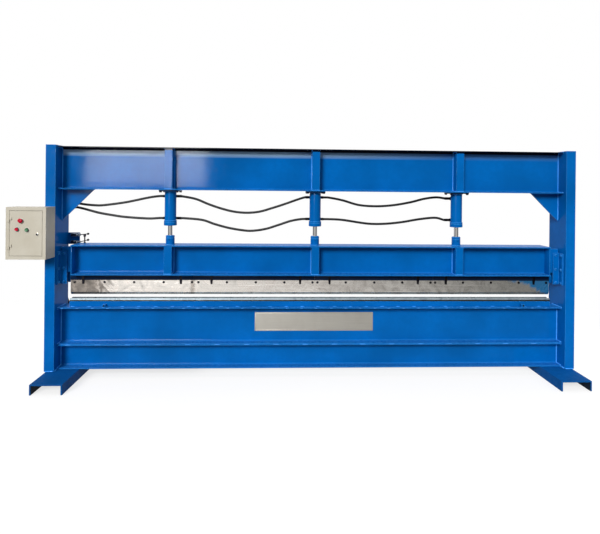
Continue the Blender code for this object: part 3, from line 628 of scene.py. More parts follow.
for name, (low, high) in cylinder_box.items():
    x, bottom, top = cylinder_x[name], low.z, high.z
    work = bmesh.new()
    lathe(work, [(24 * mm, bottom + 3 * mm), (27 * mm, bottom),
                 (cap_radius - 2 * mm, bottom), (cap_radius, bottom + 2 * mm),
                 (cap_radius, bottom + 26 * mm), (cap_radius - 1.5 * mm, bottom + 27.5 * mm),
                 (cap_radius - 1.5 * mm, bottom + 30 * mm), (cap_radius, bottom + 31.5 * mm),
                 (cap_radius, bottom + cap_height - 3 * mm), (cap_radius - 3 * mm, bottom + cap_height),
                 (tube_radius, bottom + cap_height), (tube_radius, top - plate_thick),
                 (tube_radius * 0.5, top - plate_thick)], (x, 0, 0), (0, 0, 1), 64)
    for drop in port_drops:
        z = top - drop
        block(work, (x - boss_half, tube_radius * 0.7, z - boss_half),
              (x + boss_half, 58 * mm, z + boss_half), 2 * mm)
    round_weld(work, x, top - plate_thick, tube_radius, 40, 5 * mm)
    finish_piece("cylinder_tube_" + name, work, blue_enamel, "frame",
                 stands_for="cylinder_" + name)
    work = bmesh.new()
    # The plate's near-black enamel is painted shade under the top beam's flange.
    block(work, (x - plate_half, -plate_half, top - plate_thick), (x + plate_half, plate_half, top), 2 * mm)
    finish_piece("cylinder_plate_" + name, work, dark_and_shade_enamel, "frame")
    work = bmesh.new()
    for sign_x in (-1, 1):
        for sign_y in (-1, 1):
            place = (x + sign_x * bolt_step, sign_y * bolt_step, top - plate_thick)
            hex_bolt(work, place, (0, 0, -1), plate_bolt)
    finish_piece("cylinder_bolts_" + name, work, black_steel, "frame")
    work = bmesh.new()
    for drop in port_drops:
        z = top - drop
        lathe(work, in_mm((10, 0), (16, 0), (16, 8), (15, 9), (11, 9)), (x, 52 * mm, z), (0, 1, 0), 6)
        lathe(work, [(11 * mm, -tee_half), (tee_radius - 2 * mm, -tee_half),
                     (tee_radius, -tee_half + 2 * mm), (tee_radius, -18 * mm), (12.5 * mm, -14 * mm),
                     (12.5 * mm, 14 * mm), (tee_radius, 18 * mm), (tee_radius, tee_half - 2 * mm),
                     (tee_radius - 2 * mm, tee_half), (11 * mm, tee_half)], (x, tee_back, z), (1, 0, 0), 32)
        block(work, (x - 14 * mm, 58 * mm, z - 14 * mm), (x + 14 * mm, 83 * mm, z + 14 * mm), 3 * mm)
    finish_piece("cylinder_tees_" + name, work, black_steel, "frame")


# The piston rods are ground and hard chromed, so they mirror the room in upright
# stripes. Each one screws into a thick turned end that is bolted on the ram and
# painted with it. A rubber wiper ring cleans the rod where it enters the cylinder.
def hard_chrome(name):
    """Polished hard chrome. The eye gets a mirror drawn out along the rod, with fine rings."""
    material, tree, place = start_material(name)
    ringed = add(tree, "Mapping", {"Vector": place, "Scale": (20.0, 20.0, 1 / (4 * mm))})
    rings = add(tree, "TexNoise", {"Vector": ringed, "Scale": 1.0, "Detail": 3.0})
    tint = add(tree, "MixRGB", {"Fac": rings, "Color1": "#E4E2E0", "Color2": "#C9C6C4"})
    gloss = add(tree, "MapRange", {"Value": rings, "To Min": 0.07, "To Max": 0.16})
    shader = add(tree, "BsdfPrincipled", {"Base Color": tint, "Metallic": 1.0, "Roughness": gloss})
    add(tree, "OutputMaterial", {"Surface": shader})
    return material


def black_rubber(name, colour, roughness):
    """Black nitrile rubber. The eye gets a deep black with a faint grey bloom and a soft shine."""
    material, tree, place = start_material(name)
    bloom = add(tree, "TexNoise", {"Vector": place, "Scale": 1 / (40 * mm), "Detail": 6.0})
    bloomed = add(tree, "MapRange", {"Value": bloom, "From Min": 0.45, "From Max": 0.8})
    surface = add(tree, "MixRGB", {"Fac": bloomed, "Color1": colour, "Color2": "#17171A"})
    dull = add(tree, "MapRange", {"Value": bloom, "To Min": roughness - 0.1, "To Max": roughness + 0.1})
    weave = add(tree, "TexNoise", {"Vector": place, "Scale": 1 / (2.5 * mm), "Detail": 2.0})
    woven = add(tree, "Bump", {"Height": weave, "Distance": 0.15 * mm, "Strength": 0.6})
    shader = add(tree, "BsdfPrincipled", {"Base Color": surface, "Roughness": dull, "IOR": 1.52,
                                          "Specular IOR Level": 0.2, "Normal": woven})
    add(tree, "OutputMaterial", {"Surface": shader})
    return material


chrome = hard_chrome("hard chromed steel")
rubber = black_rubber("black nitrile rubber", "#0B0B0C", 0.5)
rod_radius, end_radius, end_height = 20 * mm, 36 * mm, 76 * mm
for name, x in cylinder_x.items():
    low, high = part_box("piston_rod_" + name)
    end_top = low.z + end_height
    work = bmesh.new()
    lathe(work, [(rod_radius * 0.6, end_top - 10 * mm), (rod_radius, end_top - 8 * mm),
                 (rod_radius, high.z - 2 * mm), (rod_radius - 2 * mm, high.z)], (x, 0, 0), (0, 0, 1), 48)
    finish_piece("chromed_rod_" + name, work, chrome, "ram", stands_for="piston_rod_" + name)
    work = bmesh.new()
    lathe(work, [(end_radius - 1 * mm, low.z), (end_radius, low.z + 1 * mm), (end_radius, end_top - 22 * mm),
                 (end_radius - 1.5 * mm, end_top - 20.5 * mm), (end_radius - 1.5 * mm, end_top - 18 * mm),
                 (end_radius, end_top - 16.5 * mm), (end_radius, end_top - 5 * mm),
                 (end_radius - 5 * mm, end_top), (rod_radius + 1 * mm, end_top),
                 (rod_radius - 1 * mm, end_top - 3 * mm)], (x, 0, 0), (0, 0, 1), 48)
    round_weld(work, x, low.z + 1 * mm, end_radius, 30, 4 * mm)
    finish_piece("rod_end_" + name, work, blue_enamel, "ram")
    work = bmesh.new()
    socket_screw(work, (x, -end_radius + 1 * mm, low.z + 42 * mm), (0, -1, 0), 10 * mm, 2 * mm)
    finish_piece("rod_end_screw_" + name, work, black_steel, "ram")
    work = bmesh.new()
    bottom = cylinder_box[name][0].z
    lathe(work, [(rod_radius + 0.4 * mm, 6 * mm), (rod_radius + 0.4 * mm, -1 * mm), (22 * mm, -3 * mm),
                 (25 * mm, -2 * mm), (26 * mm, 0), (26 * mm, 3 * mm)], (x, 0, bottom), (0, 0, 1), 40)
    finish_piece("rod_wiper_" + name, work, rubber, "frame")


# The hoses are rubber hydraulic hose, 20 mm outside, with a crimped ferrule and a swivel
# nut on each end. Two feed hoses climb the back of the left post from the valve block,
# and two pairs run on from cylinder to cylinder, sagging between the fittings.
hose_radius, fine_step, span_steps = 10 * mm, 12 * mm, 24
port = tee_half + 0.3 * mm
plate_top = cylinder_box["left"][1].z
upper, lower = plate_top - port_drops[0], plate_top - port_drops[1]
shift = cylinder_x["middle"]            # from the machine's own middle to the part's origin
valve_low, valve_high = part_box("valve_block")
exit_x = valve_low.x - 0.3 * mm - shift
upper_port, lower_port, port_z = 0.232, 0.190, 0.462    # the ports' places on the valve block
upper_x, lower_x, climb_y = -2.143, -2.108, 0.148       # where the feed hoses climb the post
left = {name: x - port - shift for name, x in cylinder_x.items()}
right = {name: x + port - shift for name, x in cylinder_x.items()}
y = tee_back
hose_routes = {
    "hose_feed_upper": [
        (exit_x, upper_port, port_z), (-1.800, upper_port, port_z), (-1.900, 0.229, 0.466),
        (-2.010, 0.214, 0.484),
        (-2.100, 0.188, 0.540), (-2.138, 0.160, 0.630), (upper_x, 0.149, 0.740), (upper_x, climb_y, 0.850),
        (upper_x, climb_y, 1.000), (upper_x, climb_y, 1.150), (-2.142, 0.149, 1.240), (-2.128, 0.153, 1.330),
        (-2.084, 0.150, 1.391), (-2.016, 0.133, 1.408), (-1.930, 0.108, 1.401), (-1.850, 0.088, 1.396),
        (-1.771, 0.078, 1.398), (-1.587, 0.070, 1.424), (-1.402, 0.070, 1.464), (-1.300, y, upper),
        (left["left"], y, upper)],
    "hose_feed_lower": [
        (exit_x, lower_port, port_z), (-1.800, lower_port, port_z), (-1.900, 0.187, 0.466),
        (-2.000, 0.176, 0.484),
        (-2.072, 0.160, 0.535), (-2.104, 0.150, 0.620), (lower_x, climb_y, 0.720), (lower_x, climb_y, 0.850),
        (lower_x, climb_y, 1.000), (lower_x, climb_y, 1.130), (lower_x, climb_y, 1.220),
        (-2.107, 0.149, 1.285),
        (-2.096, 0.150, 1.329), (-2.067, 0.147, 1.362), (-2.022, 0.132, 1.376), (-1.960, 0.111, 1.368),
        (-1.874, 0.091, 1.348), (-1.804, 0.080, 1.332), (-1.694, 0.073, 1.314), (-1.586, 0.070, 1.300),
        (-1.401, 0.070, 1.289), (-1.300, y, lower), (left["left"], y, lower)],
    "hose_first_upper": [
        (right["left"], y, upper), (-1.130, y, upper), (-1.008, 0.072, 1.457), (-0.900, 0.074, 1.414),
        (-0.793, 0.074, 1.378), (-0.685, 0.074, 1.352), (-0.577, 0.074, 1.343), (-0.469, 0.074, 1.353),
        (-0.362, 0.074, 1.384), (-0.253, 0.074, 1.420), (-0.145, 0.072, 1.459), (-0.080, y, upper),
        (left["middle"], y, upper)],
    "hose_first_lower": [
        (right["left"], y, lower), (-1.110, y, lower), (-0.952, 0.072, 1.280), (-0.845, 0.074, 1.245),
        (-0.737, 0.074, 1.216), (-0.629, 0.074, 1.197), (-0.533, 0.074, 1.190), (-0.414, 0.074, 1.207),
        (-0.306, 0.074, 1.241), (-0.198, 0.072, 1.277), (-0.100, y, lower), (left["middle"], y, lower)],
    "hose_second_upper": [
        (right["middle"], y, upper), (0.110, y, upper), (0.237, 0.072, 1.456), (0.378, 0.074, 1.417),
        (0.526, 0.074, 1.407), (0.675, 0.074, 1.417), (0.824, 0.074, 1.443), (0.944, 0.072, 1.474),
        (1.048, 0.070, 1.488), (1.130, y, upper), (left["right"], y, upper)],
    "hose_second_lower": [
        (right["middle"], y, lower), (0.110, y, lower), (0.238, 0.072, 1.288), (0.454, 0.074, 1.258),
        (0.602, 0.074, 1.257), (0.751, 0.074, 1.272), (0.900, 0.072, 1.298), (1.040, 0.070, 1.312),
        (1.120, y, lower), (left["right"], y, lower)],
}


def smooth_route(points):
    """Even points along a hose: straight out of each end, and a smooth curve between."""
    knots = [Vector(point) for point in points]
    fine = []
    for a, b, c, d in zip(knots, knots[1:], knots[2:], knots[3:]):
        for index in range(span_steps):
            t = index / span_steps
            fine.append(0.5 * (2 * b + (c - a) * t + (2 * a - 5 * b + 4 * c - d) * t ** 2
                               + (3 * b - a - 3 * c + d) * t ** 3))
    fine.append(knots[-2])
    whole = sum((q - p).length for p, q in zip(fine, fine[1:]))
    count = round(whole / fine_step)
    spaced, travelled = [fine[0]], 0.0
    for p, q in zip(fine, fine[1:]):
        travelled += (q - p).length
        if travelled >= len(spaced) * whole / count and len(spaced) < count:
            spaced.append(q)
    return [knots[0]] + spaced + [fine[-1], knots[-1]]


def round_tube(name, curve_name, points, radius, resolution, kind, material):
    """Make a hose or pipe along points, as a curve that rides on the frame."""
    curve = bpy.data.curves.new(curve_name, "CURVE")
    curve.dimensions = "3D"
    curve.bevel_depth = radius
    curve.bevel_resolution = resolution
    curve.use_fill_caps = True
    curve.materials.append(material)
    spline = curve.splines.new(kind)
    spline.points.add(len(points) - 1)
    for point, place in zip(spline.points, points):
        point.co = (*place, 1.0)
    if kind == "NURBS":
        spline.use_endpoint_u = True
        spline.order_u = 3
    tube = bpy.data.objects.new(name, curve)
    scene.collection.objects.link(tube)
    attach(tube, "frame")
    return tube


nut, ferrule = 11.8 * mm, 11.7 * mm
for name, points in hose_routes.items():
    route = smooth_route([(px + shift, py, pz) for px, py, pz in points])
    hose = round_tube("rubber_" + name, name, route, hose_radius, 5, "POLY", rubber)
    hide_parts(name)
    work = bmesh.new()
    for end, inward in ((route[0], route[1] - route[0]), (route[-1], route[-2] - route[-1])):
        lathe(work, [(hose_radius, 0), (nut * 1.1, 0), (nut * 1.1, 13 * mm), (nut, 15 * mm),
                     (hose_radius, 15 * mm)], end, inward, 6)
        crimps = [(hose_radius, 15 * mm)]
        for ridge in range(4):
            start = 17 * mm + ridge * 7 * mm
            crimps += [(ferrule, start), (ferrule, start + 4.5 * mm), (ferrule - 1.2 * mm, start + 5.2 * mm),
                       (ferrule - 1.2 * mm, start + 6.4 * mm)]
        crimps.append((hose_radius, 46 * mm))
        lathe(work, crimps, end, inward, 28)
    fittings = finish_piece("fittings_" + name, work, black_steel, "frame")


# Bent strips of zinc plated steel, the saddles, hold the two feed hoses side by side
# against the back of the left post. Each is bolted to the post beside the hoses.
saddle_heights = (0.760, 0.960, 1.180)
saddle_thick, saddle_wide = 2 * mm, 22 * mm
saddle_x = (upper_x + lower_x) / 2 + shift
curve_steps = 16                        # in the half circle over a hose
post_back = posts["left"][1].y
work = bmesh.new()
bolts = bmesh.new()
for z in saddle_heights:
    block(work, (saddle_x - 44 * mm, post_back, z), (saddle_x + 36 * mm, post_back + saddle_thick,
                                                     z + saddle_wide))
    for x in (upper_x + shift, lower_x + shift):
        arcs = []
        for reach in (hose_radius, hose_radius + saddle_thick):
            for arc_z in (z, z + saddle_wide):
                arcs.append([work.verts.new((x + reach * math.cos(math.pi * step / curve_steps),
                                             climb_y + reach * math.sin(math.pi * step / curve_steps), arc_z))
                             for step in range(curve_steps + 1)])
        inner_low, inner_high, outer_low, outer_high = arcs
        for step in range(curve_steps):
            for near, far in ((outer_low, outer_high), (inner_high, inner_low), (inner_low, outer_low),
                              (outer_high, inner_high)):
                work.faces.new((near[step], near[step + 1], far[step + 1], far[step]))
        for step in (0, curve_steps):
            work.faces.new((inner_low[step], outer_low[step], outer_high[step], inner_high[step]))
        for sign in (-1, 1):
            near_x = x + sign * hose_radius
            block(work, (min(near_x, near_x + sign * saddle_thick), post_back, z),
                  (max(near_x, near_x + sign * saddle_thick), climb_y, z + saddle_wide))
    hex_bolt(bolts, (saddle_x - 34 * mm, post_back + saddle_thick, z + saddle_wide / 2), (0, 1, 0), 10 * mm)
finish_piece("hose_saddles", work, zinc_steel, "frame")
finish_piece("hose_saddle_bolts", bolts, zinc_steel, "frame")


# The control box is a folded sheet steel enclosure with a cream powder coat, screwed on
# the left post through its back. Its door has a foam gasket, two hinges and a lock,
# and on a galvanised plate inside are the contactors and the terminals.
def powder_coat(name, coat, shade, grime):
    """Baked powder coat. The eye gets a matt skin with a fine leathery texture, yellowed
    unevenly and rubbed darker where it is handled."""
    texture, cloud = 4 * mm, 160 * mm       # the real texture is about 1 mm, too fine to show
    material, tree, place = start_material(name)
    clouds = add(tree, "TexNoise", {"Vector": place, "Scale": 1 / cloud, "Detail": 4.0})
    cloudy = add(tree, "MapRange", {"Value": clouds, "From Min": 0.35, "From Max": 0.7})
    surface = add(tree, "MixRGB", {"Fac": cloudy, "Color1": coat, "Color2": shade})
    smears = add(tree, "TexNoise", {"Vector": place, "Scale": 1 / (28 * mm), "Detail": 7.0,
                                    "Roughness": 0.7, "Distortion": 0.8})
    smeared = add(tree, "MapRange", {"Value": smears, "From Min": 0.58, "From Max": 0.85, "To Max": 0.5})
    surface = add(tree, "MixRGB", {"Fac": smeared, "Color1": surface, "Color2": grime})
    rounded = add(tree, "Bevel", {"Radius": 1.5 * mm}, samples=4)
    grain = add(tree, "TexNoise", {"Vector": place, "Scale": 1 / texture, "Detail": 2.0})
    leathery = add(tree, "Bump", {"Height": grain, "Distance": 0.10 * mm, "Normal": rounded})
    dull = add(tree, "MapRange", {"Value": smears, "To Min": 0.36, "To Max": 0.52})
    shader = add(tree, "BsdfPrincipled", {"Base Color": surface, "Roughness": dull, "IOR": 1.5,
                                          "Specular IOR Level": 0.15, "Normal": leathery})
    add(tree, "OutputMaterial", {"Surface": shader})
    return material


def moulded_plastic(name, colour, pale, roughness):
    """Moulded plastic. The eye gets an even colour with a satin skin and a faint mould texture."""
    material, tree, place = start_material(name)
    flow = add(tree, "TexNoise", {"Vector": place, "Scale": 1 / (15 * mm), "Detail": 3.0})
    surface = add(tree, "MixRGB", {"Fac": flow, "Color1": colour, "Color2": pale})
    gloss = add(tree, "MapRange", {"Value": flow, "To Min": roughness - 0.08, "To Max": roughness + 0.08})
    spark = add(tree, "TexNoise", {"Vector": place, "Scale": 1 / (1.2 * mm), "Detail": 1.0})
    eroded = add(tree, "Bump", {"Height": spark, "Distance": 0.03 * mm})
    shader = add(tree, "BsdfPrincipled", {"Base Color": surface, "Roughness": gloss, "IOR": 1.53,
                                          "Specular IOR Level": 0.06, "Normal": eroded})
    add(tree, "OutputMaterial", {"Surface": shader})
    return material


cream_coat = powder_coat("cream powder coat", "#C0BAAB", "#B6AF9E", "#969080")
black_plastic = moulded_plastic("black glass filled nylon", "#101013", "#1B1B1F", 0.45)
red_plastic = moulded_plastic("red moulded nylon", "#C01533", "#A8102B", 0.32)
green_plastic = moulded_plastic("green moulded nylon", "#4C7A58", "#578564", 0.32)
white_plastic = moulded_plastic("white moulded plastic", "#C9C6BE", "#BEBBB2", 0.40)
paint_nodes(["control_box", "control_box_door"], cream_coat)
case_low, case_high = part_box("control_box")
door_low, door_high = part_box("control_box_door")
case_front = case_high.y - 150 * mm
sheet, margin, lip = 3 * mm, 26 * mm, 6 * mm
work = bmesh.new()
mouth_left, mouth_right = case_low.x + margin, case_high.x - margin
mouth_bottom, mouth_top = case_low.z + margin, case_high.z - margin
for low_x, low_z, high_x, high_z in ((mouth_left - lip, mouth_bottom - lip, mouth_right + lip, mouth_bottom),
                                     (mouth_left - lip, mouth_top, mouth_right + lip, mouth_top + lip),
                                     (mouth_left - lip, mouth_bottom, mouth_left, mouth_top),
                                     (mouth_right, mouth_bottom, mouth_right + lip, mouth_top)):
    block(work, (low_x, case_front + sheet, low_z), (high_x, case_front + sheet + 12 * mm, high_z), 1 * mm)
finish_piece("box_mouth_return", work, cream_coat, "frame")


def border(work, low, high, inset, width, front, back, edge, segments=2):
    """Add four strips that frame an upright plate, inside its edge."""
    left_x, right_x, bottom, top = low.x + inset, high.x - inset, low.z + inset, high.z - inset
    for low_x, low_z, high_x, high_z in ((left_x, bottom, right_x, bottom + width),
                                         (left_x, top - width, right_x, top),
                                         (left_x, bottom, left_x + width, top),
                                         (right_x - width, bottom, right_x, top)):
        block(work, (low_x, front, low_z), (high_x, back, high_z), edge, segments)


work = bmesh.new()
seal_front = case_front + 10 * mm + 0.2 * mm
border(work, door_low, door_high, 10 * mm, 9 * mm, seal_front, seal_front + 5 * mm, 2 * mm, 3)
finish_piece("door_gasket", work, rubber, "door")
plate_front = case_high.y - 22 * mm
corner, far_corner = (case_low.x, plate_front, case_low.z), (case_high.x, plate_front, case_low.z)
contactor_rise, terminal_rise = 270, 110    # of the two rails over the case's floor, in millimetres
work = bmesh.new()
block(work, off(corner, 30, 0, 35), (case_high.x - 30 * mm, plate_front + 2 * mm, case_high.z - 35 * mm),
      0.5 * mm)
for x in (case_low.x + 42 * mm, case_high.x - 42 * mm):
    for z in (case_low.z + 47 * mm, case_high.z - 47 * mm):
        lathe(work, in_mm((4, 2), (4, 20)), (x, plate_front, z), (0, 1, 0), 16)
        hex_bolt(work, (x, plate_front, z), (0, -1, 0), 8 * mm)
for rise in (terminal_rise, contactor_rise):
    block(work, off(corner, 45, -8, rise - 17), off(far_corner, -45, -6.5, rise + 17), 0.4 * mm)
    block(work, off(corner, 45, -7, rise - 12), off(far_corner, -45, 0, rise + 12), 0.4 * mm)
finish_piece("box_mounting_plate", work, zinc_steel, "frame")
work = bmesh.new()
for step in (78, 132):
    middle = off(corner, step, -8.3, contactor_rise)
    block(work, off(middle, -22, -45, -38), off(middle, 22, 0, 38), 2 * mm)
    block(work, off(middle, -22, -62, -18), off(middle, 22, -44, 18), 2 * mm)
finish_piece("contactors", work, black_plastic, "frame")
work = bmesh.new()
for index in range(16):
    middle = off(corner, 62 + 9 * index, -8.3, terminal_rise)
    block(work, off(middle, 0, -34, -22), off(middle, 8.2, 0, 22), 0.8 * mm)
    block(work, off(middle, 0, -40, -8), off(middle, 8.2, -33, 8), 0.8 * mm)
block(work, off(corner, 175, -62, 236), off(corner, 211, -8.3, 304), 1.5 * mm)
block(work, off(corner, 183, -70, 258), off(corner, 203, -61, 276), 1.5 * mm)
finish_piece("terminals_and_breaker", work, white_plastic, "frame")


# The push buttons sit in black bezels on thin blank legend rings. The stop button is a
# red mushroom, the others are flat, and a chromed cam lock closes the door.
button_front = case_front - 5 * mm
buttons = {"stop_button": ("stop_knob", red_plastic, "red_plastic"),
           "red_button": ("red_knob", red_plastic, "red_plastic"),
           "green_button": ("green_knob", green_plastic, "green_plastic")}
bezels = bmesh.new()
legends = bmesh.new()
for name, (body, plastic, slot) in buttons.items():
    low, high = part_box(name)
    middle = (low + high) / 2
    centre = (middle.x, button_front, middle.z)
    back = high.y - button_front
    work = bmesh.new()
    if name == "stop_button":
        head = in_mm((10.2, -7.4), (16.8, -7.6), (17.5, -8.4), (17.3, -9.8), (16, -11.6), (13, -13.2),
                     (8, -14.2), (2, -14.5))
    else:
        head = in_mm((10.2, -4.5), (12.6, -4.7), (13, -5.4), (12.8, -7.6), (12, -8.5), (10, -8.5),
                     (9, -8.0), (2, -7.8))
    lathe(work, [(10.2 * mm, back)] + head, centre, (0, 1, 0), 40)
    finish_piece("cap_of_" + name, work, plastic, body, stands_for=name)
    lathe(bezels, in_mm((10.9, 6), (14.6, 6), (14.9, 4), (14.9, -0.2), (14.0, -1.6), (11.6, -1.6),
                        (10.9, -0.6)), centre, (0, 1, 0), 40)
    lathe(legends, in_mm((15, 5), (19.5, 5), (19.5, 4.2), (18.8, 3.8), (15, 3.8)), centre, (0, 1, 0), 40)
finish_piece("button_bezels", bezels, black_plastic, "door")
finish_piece("button_legend_rings", legends, white_plastic, "door")
low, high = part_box("door_lock")
middle = (low + high) / 2
work = bmesh.new()
lathe(work, in_mm((11, 0), (11, 4), (10, 5.5), (7.5, 5.8), (7, 4.6), (2, 4.6)),
      (middle.x, high.y, middle.z), (0, -1, 0), 40)
finish_piece("lock_barrel", work, chrome, "door", stands_for="door_lock")
work = bmesh.new()
lathe(work, in_mm((6.9, 4.5), (6.7, 5.0), (0.9, 5.0)), (middle.x, high.y, middle.z), (0, -1, 0), 40)
block(work, (middle.x - 1.1 * mm, high.y - 5.1 * mm, middle.z - 4.5 * mm),
      (middle.x + 1.1 * mm, high.y - 4.4 * mm, middle.z + 4.5 * mm), 0.3 * mm)
lathe(work, in_mm((2.4, 0), (2.4, 0.6), (2.0, 0.7)), (middle.x, high.y - 4.5 * mm, middle.z), (0, -1, 0),
      20)
finish_piece("lock_keyway", work, black_plastic, "door")


# Two roller lever switches stop the ram at its upper limits. Their zinc castings are
# screwed on a plate bolted behind the left post, and a rod on the ram trips the rollers.
cast_zinc = plated_steel("die cast zinc", "#7D8898", "#59636F", 0.45)
paint_nodes(["limit_switch_bracket"], blue_enamel)
bracket_low, bracket_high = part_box("limit_switch_bracket")
work = bmesh.new()
for z in (bracket_low.z + 14 * mm, bracket_high.z - 14 * mm):
    hex_bolt(work, (bracket_low.x + 31 * mm, bracket_high.y, z), (0, 1, 0), 10 * mm)
    hex_bolt(work, (bracket_high.x - 22 * mm, bracket_high.y, z), (0, 1, 0), 7 * mm)
    hex_bolt(work, (bracket_high.x - 56 * mm, bracket_high.y, z), (0, 1, 0), 7 * mm)
finish_piece("switch_bracket_bolts", work, black_steel, "frame")
case_long, head_start, switch_long, switch_half = 52 * mm, 56 * mm, 77 * mm, 13 * mm
hub_step, hub_proud, lever_reach, switch_deep = 65 * mm, 8 * mm, 82 * mm, 22 * mm
switch_levels = (("upper", 1.1445, 9.5 * mm), ("lower", 1.083, 20 * mm))    # height, and its lever's rise
for level, z, lift in switch_levels:
    low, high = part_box("limit_switch_" + level)
    left_x, back = low.x, high.y
    front = back - switch_deep
    work = bmesh.new()
    block(work, (left_x, front, z - switch_half), (left_x + case_long, back, z + switch_half), 3 * mm, 3)
    block(work, (left_x + case_long - 1 * mm, front + 4 * mm, z - 8 * mm),
          (left_x + head_start + 1 * mm, back - 3 * mm, z + 8 * mm), 1 * mm)
    block(work, (left_x + head_start, front, z - 11 * mm), (left_x + switch_long, back, z + 11 * mm),
          3 * mm, 3)
    lathe(work, [(10 * mm, 0), (10 * mm, 3 * mm), (8 * mm, 4 * mm), (8 * mm, hub_proud - 3 * mm)],
          (left_x + hub_step, front, z), (0, -1, 0), 28)
    finish_piece("switch_body_" + level, work, cast_zinc, "frame",
                 stands_for="limit_switch_" + level)
    work = bmesh.new()
    block(work, (left_x + 3 * mm, front - 1.5 * mm, z - switch_half + 3 * mm),
          (left_x + case_long - 3 * mm, front + 1 * mm, z + switch_half - 3 * mm), 1.2 * mm)
    finish_piece("switch_cover_" + level, work, dark_and_shade_enamel, "frame")
    work = bmesh.new()
    pivot = Vector((left_x + hub_step, front - hub_proud / 2, z))
    tip = pivot + Vector((lever_reach, 0, lift))
    along = (tip - pivot).normalized()
    across = Vector((-along.z, 0, along.x))
    prism(work, [[place + across * side * half + Vector((0, deep, 0)) for side, deep in (
        (-1, -1.5 * mm), (1, -1.5 * mm), (1, 1.5 * mm), (-1, 1.5 * mm))] for place, half in (
        (pivot - along * 6 * mm, 4 * mm), (pivot, 6 * mm), (pivot + along * 12 * mm, 3.6 * mm),
        (tip - along * 8 * mm, 3.2 * mm), (tip, 3.6 * mm), (tip + along * 3 * mm, 2 * mm))])
    lathe(work, in_mm((5, -2), (5, 3), (4, 4)), pivot, (0, -1, 0), 6)
    for x in (left_x + 8 * mm, left_x + case_long - 8 * mm):
        for screw_z in (z - 6 * mm, z + 6 * mm):
            socket_screw(work, (x, front - 1.5 * mm, screw_z), (0, -1, 0), 5 * mm, 2 * mm)
    finish_piece("switch_lever_" + level, work, black_steel, "frame")
    work = bmesh.new()
    lathe(work, in_mm((3, -6), (8.3, -6), (9, -5), (9, 5), (8.3, 6), (3, 6)), tip, (0, -1, 0), 32)
    finish_piece("switch_roller_" + level, work, black_plastic, "frame")
low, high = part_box("trip_rod")
middle = (low + high) / 2
head_half, head_high = 10 * mm, 22 * mm
work = bmesh.new()
lathe(work, [(5 * mm, low.z), (5 * mm, high.z - head_high + 4 * mm)], (middle.x, middle.y, 0), (0, 0, 1), 24)
lathe(work, [(8.5 * mm, low.z), (8.5 * mm, low.z + 6 * mm), (7.5 * mm, low.z + 7 * mm)],
      (middle.x, middle.y, 0), (0, 0, 1), 6)
prism(work, [[(middle.x + side * half, middle.y + deep, z) for side, deep in (
    (-1, -5 * mm), (1, -5 * mm), (1, 5 * mm), (-1, 5 * mm))] for z, half in (
    (high.z - head_high, 5.5 * mm), (high.z - head_high + 9 * mm, head_half), (high.z - 2 * mm, head_half),
    (high.z, head_half - 2 * mm))])
finish_piece("trip_rod_and_head", work, black_steel, "ram", stands_for="trip_rod")


# The power unit behind the bed is a welded oil tank on a shelf with a valve block on its
# lid, and a gear pump driven by an electric motor with a ribbed cast body.
paint_nodes(["power_unit_shelf", "oil_tank"], blue_enamel)
tank_low, tank_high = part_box("oil_tank")
shelf_low, shelf_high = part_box("power_unit_shelf")
work = bmesh.new()
lid = 6 * mm
block(work, (tank_low.x + 2 * mm, tank_low.y + 2 * mm, tank_high.z - 3 * mm),
      (valve_low.x - 30 * mm, tank_high.y - 2 * mm, tank_high.z + lid), 1.5 * mm)
for x in (tank_low.x + 8 * mm, tank_high.x - 8 * mm):
    for y in (tank_low.y, tank_high.y):
        bead(work, (x, y, tank_low.z + 10 * mm), (x, y, tank_high.z - 10 * mm), 4 * mm)
for x in (tank_low.x, tank_high.x):
    bead(work, (x, tank_low.y + 10 * mm, tank_low.z + 2 * mm), (x, tank_high.y - 10 * mm,
                                                                tank_low.z + 2 * mm), 4 * mm)
for y in (tank_low.y, tank_high.y):
    bead(work, (tank_low.x + 10 * mm, y, tank_low.z + 2 * mm), (tank_high.x - 10 * mm, y,
                                                                tank_low.z + 2 * mm), 4 * mm)
for x in (shelf_low.x + 84 * mm, shelf_high.x - 76 * mm):
    bead(work, (x, shelf_low.y, shelf_low.z + 10 * mm), (x, shelf_low.y, shelf_high.z), 5 * mm)
finish_piece("tank_lid_and_welds", work, blue_enamel, "frame")
work = bmesh.new()
for x in (tank_low.x + 18 * mm, tank_low.x + 88 * mm, valve_low.x - 46 * mm):
    for y in (tank_low.y + 16 * mm, tank_high.y - 16 * mm):
        hex_bolt(work, (x, y, tank_high.z + lid), (0, 0, 1), 10 * mm)
lathe(work, in_mm((10, -4), (10, 0), (8, 1)), (tank_low.x + 40 * mm, tank_high.y - 3 * mm,
                                               tank_low.z + 28 * mm), (0, 1, 0), 6)
finish_piece("tank_bolts", work, zinc_steel, "frame")
work = bmesh.new()
filler = (tank_low.x + 88 * mm, (tank_low.y + tank_high.y) / 2, tank_high.z + lid)
lathe(work, in_mm((26, 0), (26, 4), (22, 5), (22, 22), (24, 24), (24, 40), (21, 44), (6, 46)), filler,
      (0, 0, 1), 48, waves=24, depth=0.03)
finish_piece("filler_breather", work, black_plastic, "frame")


oil_level, meniscus = 0.320, 2 * mm


def sight_glass(name):
    """Clear acrylic over amber oil. The eye gets a glossy yellow-brown window."""
    material, tree, place = start_material(name)
    height = add(tree, "SeparateXYZ", {"Vector": place})
    oil = add(tree, "MapRange", {"Value": height.outputs["Z"], "From Min": oil_level - meniscus,
                                 "From Max": oil_level + meniscus})
    tint = add(tree, "MixRGB", {"Fac": oil, "Color1": "#A8761E", "Color2": "#D8D6CC"})
    shader = add(tree, "BsdfPrincipled", {"Base Color": tint, "Roughness": 0.06, "IOR": 1.49,
                                          "Coat Weight": 1.0})
    add(tree, "OutputMaterial", {"Surface": shader})
    return material


